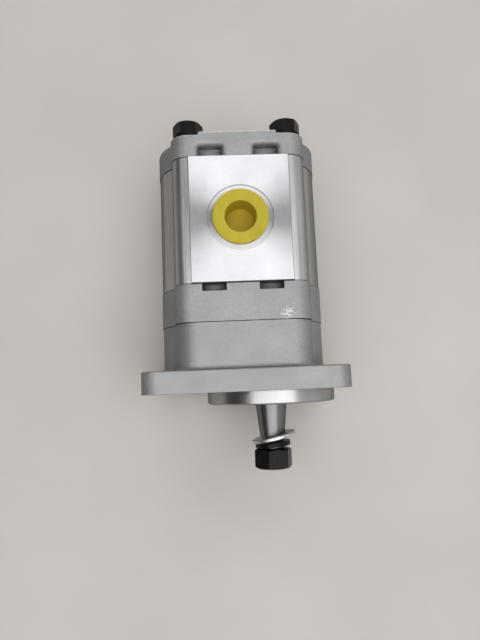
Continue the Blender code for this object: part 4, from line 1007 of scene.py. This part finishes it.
def make_woodruff_key(steel):
    low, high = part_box("woodruff_key")
    half, edge = (high.x - low.x) / 2, BROKEN_EDGE
    sides = ((-half, edge), (edge - half, 0.0), (half - edge, 0.0), (half, edge))
    key = add_object("half_round_key", half_round(KEY_RADIUS, low.z, sides))
    finish_piece(key, "drive_shaft", ["woodruff_key"], steel)


def make_seal_circlip(steel):
    """A retaining ring, open at the bottom, with an eye on each end for the pliers."""
    low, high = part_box("seal_circlip")
    outer, half = (high.x - low.x) / 2, (high.y - low.y) / 2
    band = split_ring(outer - CIRCLIP_WIDTH, outer, 2 * half, opening=CIRCLIP_OPENING)
    ring = add_object("retaining_ring", band)
    edge, reach = BROKEN_EDGE / 2, outer - EYE_RADIUS
    eye = [(-half, 0), (-half, EYE_RADIUS - edge), (edge - half, EYE_RADIUS),
           (half - edge, EYE_RADIUS), (half, EYE_RADIUS - edge), (half, 0)]
    for side in (1, -1):
        angle = -math.pi / 2 + side * (CIRCLIP_OPENING / 2 + EYE_RADIUS / reach)
        x, z = reach * math.cos(angle), reach * math.sin(angle)
        join(ring, moved(turned(eye, ROUND), x=x, z=z))
        cut(ring, moved(chamfered_hole(EYE_HOLE, -half, half, edge), x=x, z=z))
    ring.data.transform(Matrix.Translation((DRIVE_X, (low.y + high.y) / 2, AXIS_Z)))
    finish_piece(ring, "housing", ["seal_circlip"], steel)


# Camera, floor and light

def make_camera():
    data = bpy.data.cameras.new("camera")
    data.sensor_width = SENSOR
    data.lens = FOCAL_PIXELS / IMAGE_HEIGHT * SENSOR
    data.clip_start = CAMERA_NEAR
    camera = bpy.data.objects.new("camera", data)
    axes = Matrix((CAMERA_RIGHT, CAMERA_UP, CAMERA_BACK)).transposed()
    camera.matrix_world = Matrix.Translation(CAMERA_PLACE) @ axes.to_4x4()
    bpy.context.scene.collection.objects.link(camera)
    bpy.context.scene.camera = camera


def make_floor():
    mesh = bmesh.new()
    bmesh.ops.create_grid(mesh, x_segments=2, y_segments=2, size=FLOOR_REACH)
    floor = add_object("floor", mesh)
    floor.data.materials.append(pale_floor())


def add_softbox(name, place, size):
    """A flat lamp that faces down."""
    data = bpy.data.lights.new(name, "AREA")
    data.shape = "RECTANGLE"
    data.size, data.size_y = size
    data.energy = SOFTBOX_RADIANCE * math.pi * size[0] * size[1]
    lamp = bpy.data.objects.new(name, data)
    lamp.location = place
    bpy.context.scene.collection.objects.link(lamp)


def make_sky():
    """A soft sky that brightens towards one side."""
    world = bpy.data.worlds.new("studio")
    bpy.context.scene.world = world
    world.use_nodes = True
    tree = world.node_tree
    direction = tree.nodes.new("ShaderNodeTexCoord").outputs["Generated"]
    towards = tree.nodes.new("ShaderNodeVectorMath")
    towards.operation = "DOT_PRODUCT"
    towards.inputs[1].default_value = Vector(SKY_BRIGHTEST).normalized()
    span = tree.nodes.new("ShaderNodeMapRange")
    span.inputs["From Min"].default_value = -1.0
    ramp = tree.nodes.new("ShaderNodeValToRGB")
    ramp.color_ramp.elements[0].color = SKY_DARK
    ramp.color_ramp.elements[1].color = SKY_LIGHT
    ramp.color_ramp.elements.new(0.5).color = SKY_MIDDLE
    tree.links.new(direction, towards.inputs[0])
    tree.links.new(towards.outputs["Value"], span.inputs["Value"])
    tree.links.new(span.outputs["Result"], ramp.inputs["Fac"])
    tree.links.new(ramp.outputs["Color"], tree.nodes["Background"].inputs["Color"])


def main():
    shaft_line = {"axis": (0, 1, 0), "centre": (DRIVE_X, 0, AXIS_Z)}
    port_line = {"axis": (0, 0, 1), "centre": (0, PORT_Y, 0)}
    milled = turned_metal("milled aluminium", (0.84, 0.855, 0.875), roughness=0.44, pitch=0.0006,
                          spread=1.0, **port_line)
    turned_face = turned_metal("turned aluminium", (0.50, 0.50, 0.50), roughness=0.34, pitch=0.0008,
                               spread=0.6, **shaft_line)
    steel = turned_metal("ground steel", (0.23, 0.23, 0.23), roughness=0.36, pitch=0.0006,
                         spread=0.3, **shaft_line)
    cast = cast_aluminium("cast aluminium")
    scuffed = cast_aluminium("scuffed cast aluminium", SCUFF_PLACE)
    extruded = extruded_aluminium()
    black = black_oxide()
    zinc = zinc_plate()
    plastic = yellow_plastic()

    make_mounting_flange(cast, turned_face)
    make_front_cover(scuffed)
    make_pump_body(extruded, milled)
    make_rear_cover(cast, milled, bare_edge_and_painted_glint())
    make_tie_bolts(black)
    make_input_shaft(steel, black)
    make_woodruff_key(steel)
    make_seal_circlip(steel)
    make_shaft_nut(black)
    make_shaft_washers(black, zinc)
    for name, port in PORTS.items():
        make_plug(name, port, plastic)

    finishes = {"cast_aluminium": cast, "extruded_aluminium": extruded, "ground_steel": steel,
                "black_oxide_steel": black, "zinc_plated_steel": zinc, "bronze": bronze(),
                "nitrile_rubber": rubber(), "yellow_plastic": plastic}
    for part in frame["record"]["subparts"]:
        node = frame["nodes"][part["node"]]
        node.data.materials.clear()
        node.data.materials.append(finishes[part["material_slot"]])

    make_camera()
    make_floor()
    make_sky()
    for softbox in SOFTBOXES:
        add_softbox(*softbox)
    bpy.context.scene.view_settings.view_transform = "Standard"


main()
